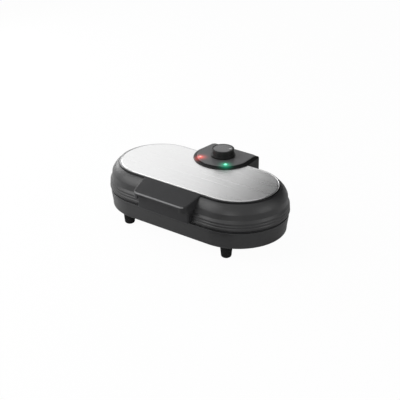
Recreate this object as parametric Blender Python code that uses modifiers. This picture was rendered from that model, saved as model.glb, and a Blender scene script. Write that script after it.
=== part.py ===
"""A double pancake maker: a hinged lid over two round moulds, with a knob on its rear console.

Metres, +Z up. The origin is on the table, under the middle of the body, and the handle faces -Y.
"""
import math

import bmesh
import bpy
from mathutils import Matrix, Vector

# Clearances and working values
GAP = 0.0003
OVERRUN = 0.003
MERGE = 0.00001
STEPS = 18
HIDDEN_STEPS = 10
MOULD_STEPS = 30
ROUND_STEPS = 24
FINE_STEPS = 14
SMOOTH_ANGLE = math.radians(35)
BEVEL_ANGLE = math.radians(50)
LEVEL_SHARE = 0.9
UPRIGHT_SHARE = 0.5

# Body: a stadium, two half circles joined by straight sides
HALF_STRAIGHT = 0.0935
WALL = 0.0025

# Levels above the table
BASE_BOTTOM = 0.028
BASE_EDGE = 0.0622
LID_EDGE = 0.0672
LID_TOP = 0.1150
PLATE_TOP = 0.1186
PARTING = (BASE_EDGE + LID_EDGE) / 2

# Lid casing, radii about the end circles
LEDGE_RADIUS = 0.0826
SHOULDER_RADIUS = 0.0954
SHOULDER_LEVEL = 0.098
WAIST_RADIUS = 0.0962
WAIST_LEVEL = 0.0868
FLARE_RADIUS = 0.0992
FLARE_LEVEL = 0.0822
SKIRT_RADIUS = 0.1004
SHOULDER_SHARES = ((0.0, 0.0), (0.3, 0.17), (0.62, 0.45), (0.87, 0.77), (1.0, 1.0))
RIBS = 2
RIB_PITCH = 0.0055
RIB_DEPTH = 0.001
RIB_WIDTH = 0.0022

# Brushed steel top plate
PLATE_RADIUS = 0.0815
PLATE_THICKNESS = 0.0008
PLATE_GROOVE_RADIUS = 0.0758
PLATE_GROOVE_WIDTH = 0.0016
PLATE_GROOVE_DEPTH = 0.0007
PLATE_ROLL = 0.0035
PLATE_LIP = 0.0020
PLATE_ROLL_TURNS = (40, 70)

# Base casing
BASE_RADIUS = 0.0983
BASE_FOOT_RADIUS = 0.0951
BASE_KNEE_LEVEL = 0.035
BASE_ROUND = 0.0060
BASE_ROUND_STEPS = 3
FLANGE_RIM = 0.0093
FLANGE_STEP_RADIUS = BASE_FOOT_RADIUS - FLANGE_RIM
FLANGE_LEDGE = 0.0078
FLANGE_INNER_RADIUS = FLANGE_STEP_RADIUS - FLANGE_LEDGE
FLANGE_LEVEL = 0.0302
COVER_THICKNESS = 0.0015
VENT_COUNT = 5
VENT_LENGTH = 0.030
VENT_WIDTH = 0.0035
VENT_PITCH = 0.009

# Cooking plates and moulds
FLANGE_RADIUS = 0.0966
FLANGE_THICKNESS = 0.002
MOULD_RADIUS = 0.074
MOULD_SPACING = 0.088
MOULD_DEPTH = 0.009
MOULD_DRAFT = 0.003
CUP_WALL = 0.0025
LUG_RADIUS = 0.0045

# Reflector trays, the lugs that hold them, and the heating elements inside the lugs
REFLECTOR_RADIUS = 0.070
REFLECTOR_FLARE = 0.003
REFLECTOR_WALL = 0.0008
REFLECTOR_CLEARANCE = 0.001
REFLECTOR_SCREW_X = 0.022
TIE_SCREW_INSET = 0.009
TIE_SCREW_Y = REFLECTOR_RADIUS - TIE_SCREW_INSET
ELEMENT_RADIUS = 0.00325
ELEMENT_INSET = 0.011
ELEMENT_LOOP = TIE_SCREW_Y - ELEMENT_INSET
ELEMENT_GAP = 0.012
ELEMENT_ARC_STEPS = 10
BEAD_RADIUS = 0.0026
BEAD_LENGTH = 0.007

# Screws
SCREW_RADIUS = 0.00175
SCREW_HEAD_RADIUS = 0.0035
SCREW_HEAD = 0.0017
SCREW_BITE = 0.011
SCREW_CROWN_SHARE = 0.7
SCREW_STEPS = 12

# Feet
FOOT_X = 0.118
FOOT_Y = 0.069
FOOT_TOP_RADIUS = 0.0125
FOOT_END_RADIUS = 0.0097
FOOT_ROUND = 0.0016
PAD_RADIUS = 0.0070
PAD_PROUD = 0.0014
PAD_INSET = 0.0030
FOOT_STEPS = 20

# Handle: a hood over a front panel, with a slot for the fingers between them
HANDLE_REACH = 0.126
HOOD_BACK_HALF = 0.0675
HOOD_FRONT_HALF = 0.0612
HOOD_BACK_TOP = 0.1191
HOOD_FRONT_TOP = 0.1054
HOOD_WALL = 0.0030
HOOD_CORNER = 0.010
HOOD_EDGE = 0.0012
HOOD_CORNER_STEPS = 5
SLOT_HALF = 0.049
PANEL_HALF = 0.0606
PANEL_REACH_SHARE = 0.4336
PANEL_REACH = SKIRT_RADIUS + (HANDLE_REACH - SKIRT_RADIUS) * PANEL_REACH_SHARE
PANEL_BOTTOM = 0.0662
PANEL_TOP = 0.0930
PANEL_WALL = 0.0025
PANEL_EDGE = 0.0028
HANDLE_SCREW_X = 0.040
HANDLE_SCREW_LEVEL = 0.0765

# Rear console on the lid, which also covers the hinge
CONSOLE_Y = 0.0846
CONSOLE_RADIUS = 0.0607
CONSOLE_BACK_HALF = 0.0575
CONSOLE_REACH = 0.126
CONSOLE_CORNER = 0.0045
CONSOLE_BAND_LEVEL = 0.1199
CONSOLE_LEVEL = 0.1222
CONSOLE_SKIRT_LEVEL = 0.082
CONSOLE_WALL = 0.0020
CAP_Y = 0.0837
CAP_RADIUS = 0.0530
CAP_BACK_HALF = 0.0508
CAP_REACH = 0.1208
CAP_THICKNESS = 0.0014
CAP_EDGE = 0.0005
CAP_LEDGE = 0.0008
CONSOLE_ARC_STEPS = 26
CORNER_STEPS = 4

# Knob, shaft and thermostat
KNOB_Y = 0.0808
KNOB_RADIUS = 0.0222
KNOB_SKIRT_RADIUS = 0.0243
KNOB_SKIRT_HEIGHT = 0.0035
KNOB_TOP = 0.1395
KNOB_EDGE = 0.0009
KNOB_WALL = 0.0020
KNOB_DISC_RADIUS = 0.0188
KNOB_DISC_THICKNESS = 0.0009
KNOB_RUN = 0.0006
KNOB_BOSS_WALL = 0.0018
SHAFT_RADIUS = 0.0030
SHAFT_CLEARANCE = 0.0008
THERMOSTAT_Y = 0.0832
THERMOSTAT_WIDTH = 0.026
THERMOSTAT_DEPTH = 0.020
THERMOSTAT_HEIGHT = 0.019
THERMOSTAT_EDGE = 0.0012

# Lamps
LAMP_X = 0.0306
LAMP_Y = 0.0473
LENS_RADIUS = 0.0036
LENS_SHANK_RADIUS = 0.0029
LENS_STEPS = 16
LENS_TURNS = (30, 60, 90)
LENS_DOME = 0.0012
LAMP_LENGTH = 0.016

# Thermal fuse
FUSE_RADIUS = 0.0022
FUSE_LENGTH = 0.014
FUSE_END = 0.0008
CLIP_WIDTH = 0.015
CLIP_DEPTH = 0.006
CLIP_WALL = 0.0012

# Hinge
HINGE_Y = 0.112
HINGE_Z = 0.0642
PIN_RADIUS = 0.0030
PIN_HEAD_RADIUS = 0.0048
PIN_HEAD = 0.0016
BRACKET_X = 0.028
BRACKET_WIDTH = 0.008
BRACKET_RADIUS = 0.0080
BRACKET_DROP = 0.020
ARM_WIDTH = 0.006
ARM_RADIUS = 0.0070
ARM_TOP = 0.092
ARM_DEPTH = 0.008
HINGE_ARC_STEPS = 10

# Cord gland and terminal block
GLAND_X = -0.074
GLAND_LEVEL = 0.0455
GLAND_RADIUS = 0.0068
GLAND_COLLAR_RADIUS = 0.0090
GLAND_COLLAR = 0.0020
GLAND_REACH = 0.010
GLAND_TAPER_SHARE = 0.75
CORD_RADIUS = 0.0034
BLOCK_WIDTH = 0.026
BLOCK_DEPTH = 0.013
BLOCK_HEIGHT = 0.010
BLOCK_EDGE = 0.0010
BLOCK_POSTS = 3
BLOCK_HOLE_RADIUS = 0.0020
BLOCK_HOLE_DEPTH = 0.006
BLOCK_Y = 0.0796

COLLECTION = "pancake_maker"


def clear_scene():
    for thing in list(bpy.data.objects):
        bpy.data.objects.remove(thing, do_unlink=True)
    for name in (COLLECTION, "cutters"):
        bpy.context.scene.collection.children.link(bpy.data.collections.new(name))


def paint(name, colour, roughness, metallic=0.0):
    """A plain Principled material."""
    made = bpy.data.materials.get(name)
    if made:
        return made
    made = bpy.data.materials.new(name)
    made.use_nodes = True
    shader = made.node_tree.nodes["Principled BSDF"]
    shader.inputs["Base Color"].default_value = (*colour, 1.0)
    shader.inputs["Roughness"].default_value = roughness
    shader.inputs["Metallic"].default_value = metallic
    return made


def black_plastic():
    return paint("black_plastic", (0.022, 0.022, 0.024), 0.42)


def grey_plastic():
    return paint("grey_plastic", (0.09, 0.09, 0.095), 0.4)


def brushed_steel():
    return paint("brushed_steel", (0.62, 0.62, 0.63), 0.32, 1.0)


def cast_coating():
    return paint("non_stick_coating", (0.03, 0.03, 0.032), 0.35, 0.2)


def plain_steel():
    return paint("plain_steel", (0.5, 0.5, 0.5), 0.35, 1.0)


def rubber():
    return paint("rubber", (0.012, 0.012, 0.012), 0.8)


def ceramic():
    return paint("ceramic", (0.8, 0.78, 0.72), 0.5)


def red_lens():
    return paint("red_lens", (0.8, 0.02, 0.01), 0.15)


def green_lens():
    return paint("green_lens", (0.02, 0.6, 0.18), 0.15)


def place(name, mesh, colour, body=None):
    """An object for this mesh, hung on its joint's empty where it moves."""
    thing = bpy.data.objects.new(name, mesh)
    bpy.data.collections[COLLECTION].objects.link(thing)
    mesh.materials.clear()
    mesh.materials.append(colour)
    if body:
        thing.parent = body
        thing.matrix_parent_inverse = Matrix.Translation(-body.location)
    return thing


def as_cutter(thing):
    """Turns an object into a hidden helper."""
    bpy.data.collections[COLLECTION].objects.unlink(thing)
    bpy.data.collections["cutters"].objects.link(thing)
    thing.hide_render = True
    thing.display_type = "WIRE"
    return thing


def boolean(thing, other, operation="DIFFERENCE", solver="EXACT"):
    modifier = thing.modifiers.new(operation.title(), "BOOLEAN")
    modifier.operation = operation
    modifier.solver = solver
    modifier.object = other


def bevel(thing, width, segments=2):
    modifier = thing.modifiers.new("Bevel", "BEVEL")
    modifier.width = width
    modifier.segments = segments
    modifier.limit_method = "ANGLE"
    modifier.angle_limit = BEVEL_ANGLE


def solidify(thing, wall):
    modifier = thing.modifiers.new("Wall", "SOLIDIFY")
    modifier.thickness = wall
    modifier.offset = -1.0
    modifier.use_even_offset = True


def smooth(mesh):
    mesh.shade_smooth()
    mesh.set_sharp_from_angle(angle=SMOOTH_ANGLE)


def finish_mesh(name, bm):
    mesh = bpy.data.meshes.new(name)
    bm.to_mesh(mesh)
    bm.free()
    smooth(mesh)
    return mesh


def stadium(name, profile, colour, body=None, steps=STEPS, up=1):
    """Sweeps a chain of (radius, height) points round a stadium, as a half that a Mirror completes.

    up is 1 where the highest face looks up, and -1 where the lowest face looks down.
    """
    bm = bmesh.new()
    chain = [bm.verts.new((HALF_STRAIGHT, -radius, height)) for radius, height in profile]
    edges = [bm.edges.new(pair) for pair in zip(chain, chain[1:])]
    centre = (HALF_STRAIGHT, 0, 0)
    spun = bmesh.ops.spin(bm, geom=chain + edges, cent=centre, axis=(0, 0, 1), angle=math.pi, steps=steps)
    last = [item for item in spun["geom_last"] if isinstance(item, bmesh.types.BMEdge)]
    for ends in (edges, last):
        run = bmesh.ops.extrude_edge_only(bm, edges=ends)
        for item in run["geom"]:
            if isinstance(item, bmesh.types.BMVert):
                item.co.x = 0.0
    bmesh.ops.remove_doubles(bm, verts=bm.verts, dist=MERGE)
    bmesh.ops.recalc_face_normals(bm, faces=bm.faces)
    extreme = max(bm.faces, key=lambda face: up * face.calc_center_median().z)
    if up * extreme.normal.z < 0:
        bmesh.ops.reverse_faces(bm, faces=bm.faces)
    thing = place(name, finish_mesh(name, bm), colour, body)
    mirror = thing.modifiers.new("Mirror", "MIRROR")
    mirror.merge_threshold = MERGE
    return thing


def turned(name, profile, spot, colour, body=None, steps=ROUND_STEPS, turn=None, closed=False):
    """A turned piece: a chain of (radius, height) points, listed down its outer side, round an axis."""
    bm = bmesh.new()
    chain = [bm.verts.new((radius, 0, height)) for radius, height in profile]
    pairs = list(zip(chain, chain[1:]))
    if closed:
        pairs.append((chain[-1], chain[0]))
    for pair in pairs:
        bm.edges.new(pair)
    thing = place(name, finish_mesh(name, bm), colour)
    screw = thing.modifiers.new("Screw", "SCREW")
    screw.steps = steps
    screw.render_steps = steps
    screw.use_merge_vertices = True
    screw.merge_threshold = MERGE
    screw.use_smooth_shade = True
    thing.location = spot
    if turn:
        thing.rotation_euler = turn
    if body:
        thing.parent = body
        thing.matrix_parent_inverse = Matrix.Translation(-body.location)
    return thing


def block(name, low, high, colour, body=None, edge=0.0):
    """A box between two corners, with its edges rounded."""
    bm = bmesh.new()
    size = Vector(high) - Vector(low)
    middle = (Vector(high) + Vector(low)) / 2
    bmesh.ops.create_cube(bm, size=1, matrix=Matrix.Translation(middle) @ Matrix.Diagonal((*size, 1)))
    thing = place(name, finish_mesh(name, bm), colour, body)
    if edge:
        bevel(thing, edge)
    return thing


def rod(name, radius, start, end, colour, body=None, steps=FINE_STEPS):
    """A cylinder between two points."""
    bm = bmesh.new()
    along = Vector(end) - Vector(start)
    lie = along.to_track_quat("Z", "Y").to_matrix().to_4x4() @ Matrix.Rotation(math.pi / steps, 4, "Z")
    matrix = Matrix.Translation((Vector(start) + Vector(end)) / 2) @ lie
    bmesh.ops.create_cone(bm, cap_ends=True, segments=steps, radius1=radius, radius2=radius,
                          depth=along.length, matrix=matrix)
    return place(name, finish_mesh(name, bm), colour, body)


def curve_mesh(thing):
    """The mesh of a curve object, with its caps welded on. The curve is removed."""
    bpy.context.view_layer.update()
    graph = bpy.context.evaluated_depsgraph_get()
    mesh = bpy.data.meshes.new_from_object(thing.evaluated_get(graph))
    bm = bmesh.new()
    bm.from_mesh(mesh)
    bmesh.ops.remove_doubles(bm, verts=bm.verts, dist=MERGE)
    bmesh.ops.recalc_face_normals(bm, faces=bm.faces)
    bpy.data.objects.remove(thing, do_unlink=True)
    return bm


def flat(name, outline, low, high, colour, body=None, upright=False):
    """A flat outline with a thickness, lying level or, if upright, in a plane across X."""
    curve = bpy.data.curves.new(name, "CURVE")
    curve.dimensions = "2D"
    curve.fill_mode = "BOTH"
    curve.extrude = (high - low) / 2
    spline = curve.splines.new("POLY")
    spline.points.add(len(outline) - 1)
    for point, (across, along) in zip(spline.points, outline):
        point.co = (across, along, 0, 1)
    spline.use_cyclic_u = True
    drawn = bpy.data.objects.new(name + "_outline", curve)
    bpy.data.collections[COLLECTION].objects.link(drawn)
    bm = curve_mesh(drawn)
    bm.transform(Matrix.Translation((0, 0, (low + high) / 2)))
    if upright:
        bm.transform(Matrix(((0, 0, 1, 0), (1, 0, 0, 0), (0, 1, 0, 0), (0, 0, 0, 1))))
    return place(name, finish_mesh(name, bm), colour, body)


def tube(name, points, radius, colour, body=None):
    """A round tube along a line of points."""
    curve = bpy.data.curves.new(name, "CURVE")
    curve.dimensions = "3D"
    curve.bevel_depth = radius
    curve.bevel_resolution = 2
    curve.use_fill_caps = True
    spline = curve.splines.new("POLY")
    spline.points.add(len(points) - 1)
    for point, (x, y, z) in zip(spline.points, points):
        point.co = (x, y, z, 1)
    drawn = bpy.data.objects.new(name + "_line", curve)
    bpy.data.collections[COLLECTION].objects.link(drawn)
    return place(name, finish_mesh(name, curve_mesh(drawn)), colour, body)


def axis_empty(name, spot):
    empty = bpy.data.objects.new(name, None)
    empty.location = spot
    bpy.data.collections[COLLECTION].objects.link(empty)
    return empty


def arc(across, along, radius, start, end, steps):
    """Points on an arc, between two angles in degrees."""
    angles = [math.radians(start + (end - start) * step / steps) for step in range(steps + 1)]
    return [(across + radius * math.cos(angle), along + radius * math.sin(angle)) for angle in angles]


def lid_profile(groove=RIB_DEPTH):
    """The lid casing's outer side, from its middle down to the lower edge of the ribbed skirt."""
    drop = LID_TOP - SHOULDER_LEVEL
    reach = SHOULDER_RADIUS - LEDGE_RADIUS
    shoulder = [(LEDGE_RADIUS + out * reach, LID_TOP - down * drop) for out, down in SHOULDER_SHARES]
    points = [(0, LID_TOP), *shoulder, (WAIST_RADIUS, WAIST_LEVEL), (FLARE_RADIUS, FLARE_LEVEL)]
    for rib in range(RIBS, 0, -1):
        level = LID_EDGE + rib * RIB_PITCH
        radius = SKIRT_RADIUS - (SKIRT_RADIUS - FLARE_RADIUS) * rib * RIB_PITCH / (FLARE_LEVEL - LID_EDGE)
        points += [(radius, level + RIB_WIDTH / 2), (radius - groove, level), (radius, level - RIB_WIDTH / 2)]
    return [*points, (SKIRT_RADIUS, LID_EDGE)]


def lid_inner_profile():
    """The casing's inner side, from its lower edge up to its middle."""
    skirt = skirt_inner()
    waist = WAIST_RADIUS - WALL
    points = [(skirt, LID_EDGE), (skirt, FLARE_LEVEL - WALL / 2), (waist, WAIST_LEVEL - WALL / 2)]
    points += [(radius - WALL, level) for radius, level in reversed(lid_profile()[3:6])]
    return [*points, (LEDGE_RADIUS, LID_TOP - WALL), (0, LID_TOP - WALL)]


def skirt_inner():
    return FLARE_RADIUS - RIB_DEPTH - WALL


def lid_cutter(name, middle):
    """The lid's outer form, grown by the gap, under the points given for its middle."""
    outer = [(LEDGE_RADIUS + GAP, LID_TOP + GAP)]
    outer += [(radius + GAP, level + GAP) for radius, level in lid_profile(groove=0)[2:]]
    points = [*middle, *outer, (SKIRT_RADIUS + GAP, LID_EDGE - OVERRUN), (0, LID_EDGE - OVERRUN)]
    return as_cutter(stadium(name, points, black_plastic()))


def casing_cutter():
    return lid_cutter("lid_clearance", [(0, LID_TOP + GAP)])


def plated_cutter():
    """The lid's form with its steel plate on."""
    edge = PLATE_RADIUS + GAP
    top = PLATE_TOP + GAP
    return lid_cutter("plated_lid_clearance", [(0, top), (edge, top), (edge, LID_TOP + GAP)])


def make_lid_shell(lid):
    return stadium("lid_shell", [*lid_profile(), *lid_inner_profile()], black_plastic(), lid)


def make_top_plate(lid, console_hole):
    """A thin steel plate with a groove round its border and a rolled edge."""
    groove = PLATE_GROOVE_WIDTH / 2
    border = PLATE_TOP - PLATE_GROOVE_DEPTH / 2
    roll = PLATE_RADIUS - PLATE_ROLL
    seat = LID_TOP + GAP
    fall = border - (seat + PLATE_LIP)
    profile = [(0, PLATE_TOP), (PLATE_GROOVE_RADIUS - groove, PLATE_TOP)]
    profile += [(PLATE_GROOVE_RADIUS, PLATE_TOP - PLATE_GROOVE_DEPTH), (PLATE_GROOVE_RADIUS + groove, border)]
    profile.append((roll, border))
    for turn in PLATE_ROLL_TURNS:
        angle = math.radians(turn)
        profile.append((roll + PLATE_ROLL * math.sin(angle), border - fall * (1 - math.cos(angle))))
    profile += [(PLATE_RADIUS, seat + PLATE_LIP), (PLATE_RADIUS, seat)]
    thing = stadium("top_plate", profile, brushed_steel(), lid)
    solidify(thing, PLATE_THICKNESS)
    boolean(thing, console_hole, solver="MANIFOLD")
    return thing


def rear_outline(middle, radius, half, reach, corner):
    """A plan with an arc in front, sides that draw in, and rounded corners behind."""
    side = half - corner
    back = reach - corner
    points = arc(0, middle, radius, 180, 360, CONSOLE_ARC_STEPS)
    points += arc(side, back, corner, 0, 90, CORNER_STEPS)
    points += arc(-side, back, corner, 90, 180, CORNER_STEPS)
    return points


def console_outline(grow=0.0):
    half, reach = CONSOLE_BACK_HALF + grow, CONSOLE_REACH + grow
    return rear_outline(CONSOLE_Y, CONSOLE_RADIUS + grow, half, reach, CONSOLE_CORNER)


def cap_outline(grow=0.0):
    return rear_outline(CAP_Y, CAP_RADIUS + grow, CAP_BACK_HALF + grow, CAP_REACH + grow, CONSOLE_CORNER)


def make_console(lid, lid_form):
    """The rear cover, with a sloping band round its top, and the flat cap on it."""
    bm = bmesh.new()
    rings = []
    levels = ((console_outline(), CONSOLE_SKIRT_LEVEL), (console_outline(), CONSOLE_BAND_LEVEL),
              (cap_outline(CAP_LEDGE), CONSOLE_LEVEL))
    for outline, level in levels:
        rings.append([bm.verts.new((x, y, level)) for x, y in outline])
    for low, high in zip(rings, rings[1:]):
        for number, vert in enumerate(low):
            after = (number + 1) % len(low)
            bm.faces.new((vert, low[after], high[after], high[number]))
    bm.faces.new(rings[-1])
    bmesh.ops.remove_doubles(bm, verts=bm.verts, dist=MERGE)
    bm.normal_update()
    thing = place("control_console", finish_mesh("control_console", bm), black_plastic(), lid)
    solidify(thing, CONSOLE_WALL)
    boolean(thing, lid_form)
    low = CONSOLE_LEVEL + GAP
    cap = flat("console_cap", cap_outline(), low, cap_top(), grey_plastic(), lid)
    bevel(cap, CAP_EDGE, 1)
    return thing, cap


def cap_top():
    return CONSOLE_LEVEL + GAP + CAP_THICKNESS


def console_cutter():
    """The hole that the console needs in the steel plate."""
    outline = console_outline(GAP)
    return as_cutter(flat("console_hole", outline, LID_TOP - OVERRUN, PLATE_TOP + OVERRUN, black_plastic()))


def drill(name, radius, start, end, *targets):
    hole = as_cutter(rod(name, radius, start, end, black_plastic()))
    for target in targets:
        boolean(target, hole)


def make_knob(knob):
    spot = (0, KNOB_Y, 0)
    seat = cap_top() + KNOB_RUN
    skirt = seat + KNOB_SKIRT_HEIGHT
    disc = KNOB_TOP - KNOB_DISC_THICKNESS
    disc_wall = KNOB_DISC_RADIUS + GAP
    inner_top = disc - GAP - KNOB_WALL
    bore = SHAFT_RADIUS + GAP
    hollow = KNOB_RADIUS - KNOB_WALL
    boss = bore + KNOB_BOSS_WALL
    profile = [(0, disc - GAP), (disc_wall, disc - GAP), (disc_wall, KNOB_TOP)]
    profile += [(KNOB_RADIUS - KNOB_EDGE, KNOB_TOP), (KNOB_RADIUS, KNOB_TOP - KNOB_EDGE)]
    profile.append((KNOB_RADIUS, skirt + KNOB_EDGE))
    profile += [(KNOB_SKIRT_RADIUS - KNOB_EDGE, skirt), (KNOB_SKIRT_RADIUS, skirt - KNOB_EDGE)]
    profile += [(KNOB_SKIRT_RADIUS, seat), (hollow, seat), (hollow, inner_top), (boss, inner_top), (boss, seat)]
    profile += [(bore, seat), (bore, inner_top), (0, inner_top)]
    turned("temperature_knob", profile, spot, black_plastic(), knob)
    top = [(0, KNOB_TOP), (KNOB_DISC_RADIUS, KNOB_TOP), (KNOB_DISC_RADIUS, disc), (0, disc)]
    turned("knob_disc", top, spot, grey_plastic(), knob)
    start = thermostat_top() + GAP
    end = inner_top - GAP
    rod("thermostat_shaft", SHAFT_RADIUS, (0, KNOB_Y, start), (0, KNOB_Y, end), plain_steel(), knob)


def plate_level(side):
    """The face that looks at the other plate: side is -1 for the lower plate and 1 for the upper."""
    return PARTING + side * GAP


def plate_back(side):
    return plate_level(side) + side * FLANGE_THICKNESS


def cup_back(side):
    return plate_level(side) + side * (MOULD_DEPTH + CUP_WALL)


def reflector_level(side):
    """The tray's face that looks at the element."""
    return cup_back(side) + side * (2 * GAP + 2 * ELEMENT_RADIUS)


def thermostat_top():
    return plate_back(1) + GAP + THERMOSTAT_HEIGHT


def make_cooking_plate(name, side, body):
    """A cast plate: a flange, two round moulds, and the lugs that its screws bite into."""
    level = plate_level(side)
    back = plate_back(side)
    low, high = min(level, back), max(level, back)
    profile = [(0, high), (FLANGE_RADIUS, high), (FLANGE_RADIUS, low), (0, low)]
    thing = stadium(name, profile, cast_coating(), body)
    inside = level + side * FLANGE_THICKNESS / 2
    outer = MOULD_RADIUS + CUP_WALL
    for end, label in ((-1, "left"), (1, "right")):
        x = end * MOULD_SPACING
        start, finish = (x, 0, inside), (x, 0, cup_back(side))
        cup = rod(f"{name}_cup_{label}", outer, start, finish, black_plastic(), steps=MOULD_STEPS)
        boolean(thing, as_cutter(cup), "UNION")
    lugs = (*tie_spots(), *reflector_spots())
    lug_end = reflector_level(side) - side * GAP
    for number, (x, y) in enumerate(lugs):
        lug = rod(f"{name}_lug_{number}", LUG_RADIUS, (x, y, inside), (x, y, lug_end), black_plastic())
        boolean(thing, as_cutter(lug), "UNION")
        hole_end = (x, y, lug_end - side * (SCREW_BITE + GAP))
        drill(f"{name}_hole_{number}", SCREW_RADIUS + GAP, hole_end, (x, y, lug_end + side * OVERRUN), thing)
    for end, label in ((-1, "left"), (1, "right")):
        boolean(thing, mould_cutter(f"{name}_mould_{label}", side, end * MOULD_SPACING))
    return thing


def mould_cutter(name, side, x):
    """The hollow of one mould, wider at its mouth."""
    level = plate_level(side)
    bm = bmesh.new()
    depth = MOULD_DEPTH + OVERRUN
    grow = MOULD_DRAFT * OVERRUN / MOULD_DEPTH
    middle = level + side * (MOULD_DEPTH - OVERRUN) / 2
    lean = Matrix.Translation((x, 0, middle)) @ Matrix.Diagonal((1, 1, -side, 1))
    bmesh.ops.create_cone(bm, cap_ends=True, segments=MOULD_STEPS, radius1=MOULD_RADIUS - MOULD_DRAFT,
                          radius2=MOULD_RADIUS + grow, depth=depth, matrix=lean)
    bmesh.ops.recalc_face_normals(bm, faces=bm.faces)
    return as_cutter(place(name, finish_mesh(name, bm), black_plastic()))


def tie_spots():
    return ((-REFLECTOR_SCREW_X, -TIE_SCREW_Y), (REFLECTOR_SCREW_X, TIE_SCREW_Y))


def reflector_spots():
    return ((REFLECTOR_SCREW_X, -TIE_SCREW_Y), (-REFLECTOR_SCREW_X, TIE_SCREW_Y))


def make_element(name, side, body):
    """A sheathed heating tube: a loop round both moulds, open at the back, with a bead at each end."""
    level = cup_back(side) + side * (GAP + ELEMENT_RADIUS)
    left = arc(-MOULD_SPACING, 0, ELEMENT_LOOP, 90, 270, ELEMENT_ARC_STEPS)
    right = arc(MOULD_SPACING, 0, ELEMENT_LOOP, -90, 90, ELEMENT_ARC_STEPS)
    line = [(-ELEMENT_GAP, ELEMENT_LOOP), *left, *right, (ELEMENT_GAP, ELEMENT_LOOP)]
    tube(name, [(x, y, level) for x, y in line], ELEMENT_RADIUS, plain_steel(), body)
    for end, label in ((-1, "left"), (1, "right")):
        start = end * (ELEMENT_GAP - GAP)
        rod(f"{name}_bead_{label}", BEAD_RADIUS, (start, ELEMENT_LOOP, level),
            (start - end * BEAD_LENGTH, ELEMENT_LOOP, level), ceramic(), body)


def make_reflector(name, side, body, beside):
    """A thin tray that turns the element's heat back, notched where it would meet the box beside it."""
    level = reflector_level(side)
    rim = cup_back(side) + side * (GAP + REFLECTOR_WALL)
    profile = [(0, level), (REFLECTOR_RADIUS - REFLECTOR_FLARE, level), (REFLECTOR_RADIUS, rim)]
    thing = stadium(name, profile, plain_steel(), body, steps=HIDDEN_STEPS, up=-side)
    solidify(thing, REFLECTOR_WALL)
    for number, (x, y) in enumerate((*tie_spots(), *reflector_spots())):
        start, end = (x, y, level - side * OVERRUN), (x, y, level + side * OVERRUN)
        drill(f"{name}_hole_{number}", SCREW_RADIUS + GAP, start, end, thing)
    (left, front, _), (right, back, _) = beside
    clear = REFLECTOR_CLEARANCE
    notch_low, notch_high = min(level, rim) - OVERRUN, max(level, rim) + OVERRUN
    notch = block(f"{name}_notch", (left - clear, front - clear, notch_low),
                  (right + clear, back + clear, notch_high), black_plastic())
    boolean(thing, as_cutter(notch))


def screw(name, head, tip, body):
    """A round-head screw, from the underside of its head to its tip."""
    head, tip = Vector(head), Vector(tip)
    length = (tip - head).length
    crown = SCREW_HEAD_RADIUS * SCREW_CROWN_SHARE
    profile = [(0, SCREW_HEAD), (crown, SCREW_HEAD), (SCREW_HEAD_RADIUS, SCREW_HEAD / 2)]
    profile += [(SCREW_HEAD_RADIUS, 0), (SCREW_RADIUS, 0), (SCREW_RADIUS, SCREW_RADIUS - length), (0, -length)]
    turn = (head - tip).to_track_quat("Z", "Y").to_euler()
    turned(name, profile, head, plain_steel(), body, steps=SCREW_STEPS, turn=turn)


def make_screws(side, names, body, tie_head):
    """The two long screws that tie a casing to its plate, and the two that hold its reflector."""
    lug_end = reflector_level(side) - side * GAP
    tip = lug_end - side * SCREW_BITE
    under = reflector_level(side) + side * (REFLECTOR_WALL + GAP)
    for label, (x, y) in zip(("front", "back"), tie_spots()):
        screw(f"{names}_tie_screw_{label}", (x, y, tie_head), (x, y, tip), body)
    for label, (x, y) in zip(("front", "back"), reflector_spots()):
        screw(f"{names}_reflector_screw_{label}", (x, y, under), (x, y, tip), body)


def make_base_shell():
    foot = BASE_FOOT_RADIUS - BASE_ROUND
    bend = BASE_BOTTOM + BASE_ROUND
    profile = [(BASE_RADIUS, BASE_EDGE), (BASE_RADIUS, BASE_EDGE - BASE_ROUND)]
    profile.append((BASE_FOOT_RADIUS + GAP, BASE_KNEE_LEVEL))
    profile += arc(foot, bend, BASE_ROUND, 0, -90, BASE_ROUND_STEPS)
    profile += [(FLANGE_STEP_RADIUS, BASE_BOTTOM), (FLANGE_STEP_RADIUS, FLANGE_LEVEL)]
    profile.append((FLANGE_INNER_RADIUS, FLANGE_LEVEL))
    thing = stadium("base_shell", profile, black_plastic(), up=-1)
    solidify(thing, WALL)
    start = (GLAND_X, BASE_RADIUS - 2 * OVERRUN, GLAND_LEVEL)
    drill("gland_hole", GLAND_RADIUS + GAP, start, (GLAND_X, BASE_RADIUS + OVERRUN, GLAND_LEVEL), thing)


def make_bottom_cover():
    high = FLANGE_LEVEL - GAP
    low = high - COVER_THICKNESS
    radius = FLANGE_STEP_RADIUS - GAP
    thing = stadium("bottom_cover", [(0, high), (radius, high), (radius, low), (0, low)], plain_steel())
    for number, (x, y) in enumerate(tie_spots()):
        drill(f"cover_hole_{number}", SCREW_RADIUS + GAP, (x, y, low - OVERRUN), (x, y, high + OVERRUN), thing)
    first = -(VENT_COUNT - 1) / 2
    for end in (-1, 1):
        for number in range(VENT_COUNT):
            x = end * MOULD_SPACING + (first + number) * VENT_PITCH
            corner = (x - VENT_WIDTH / 2, -VENT_LENGTH / 2, low - OVERRUN)
            vent = block("vent", corner, (x + VENT_WIDTH / 2, VENT_LENGTH / 2, high + OVERRUN), black_plastic())
            boolean(thing, as_cutter(vent))
    return low


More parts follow.
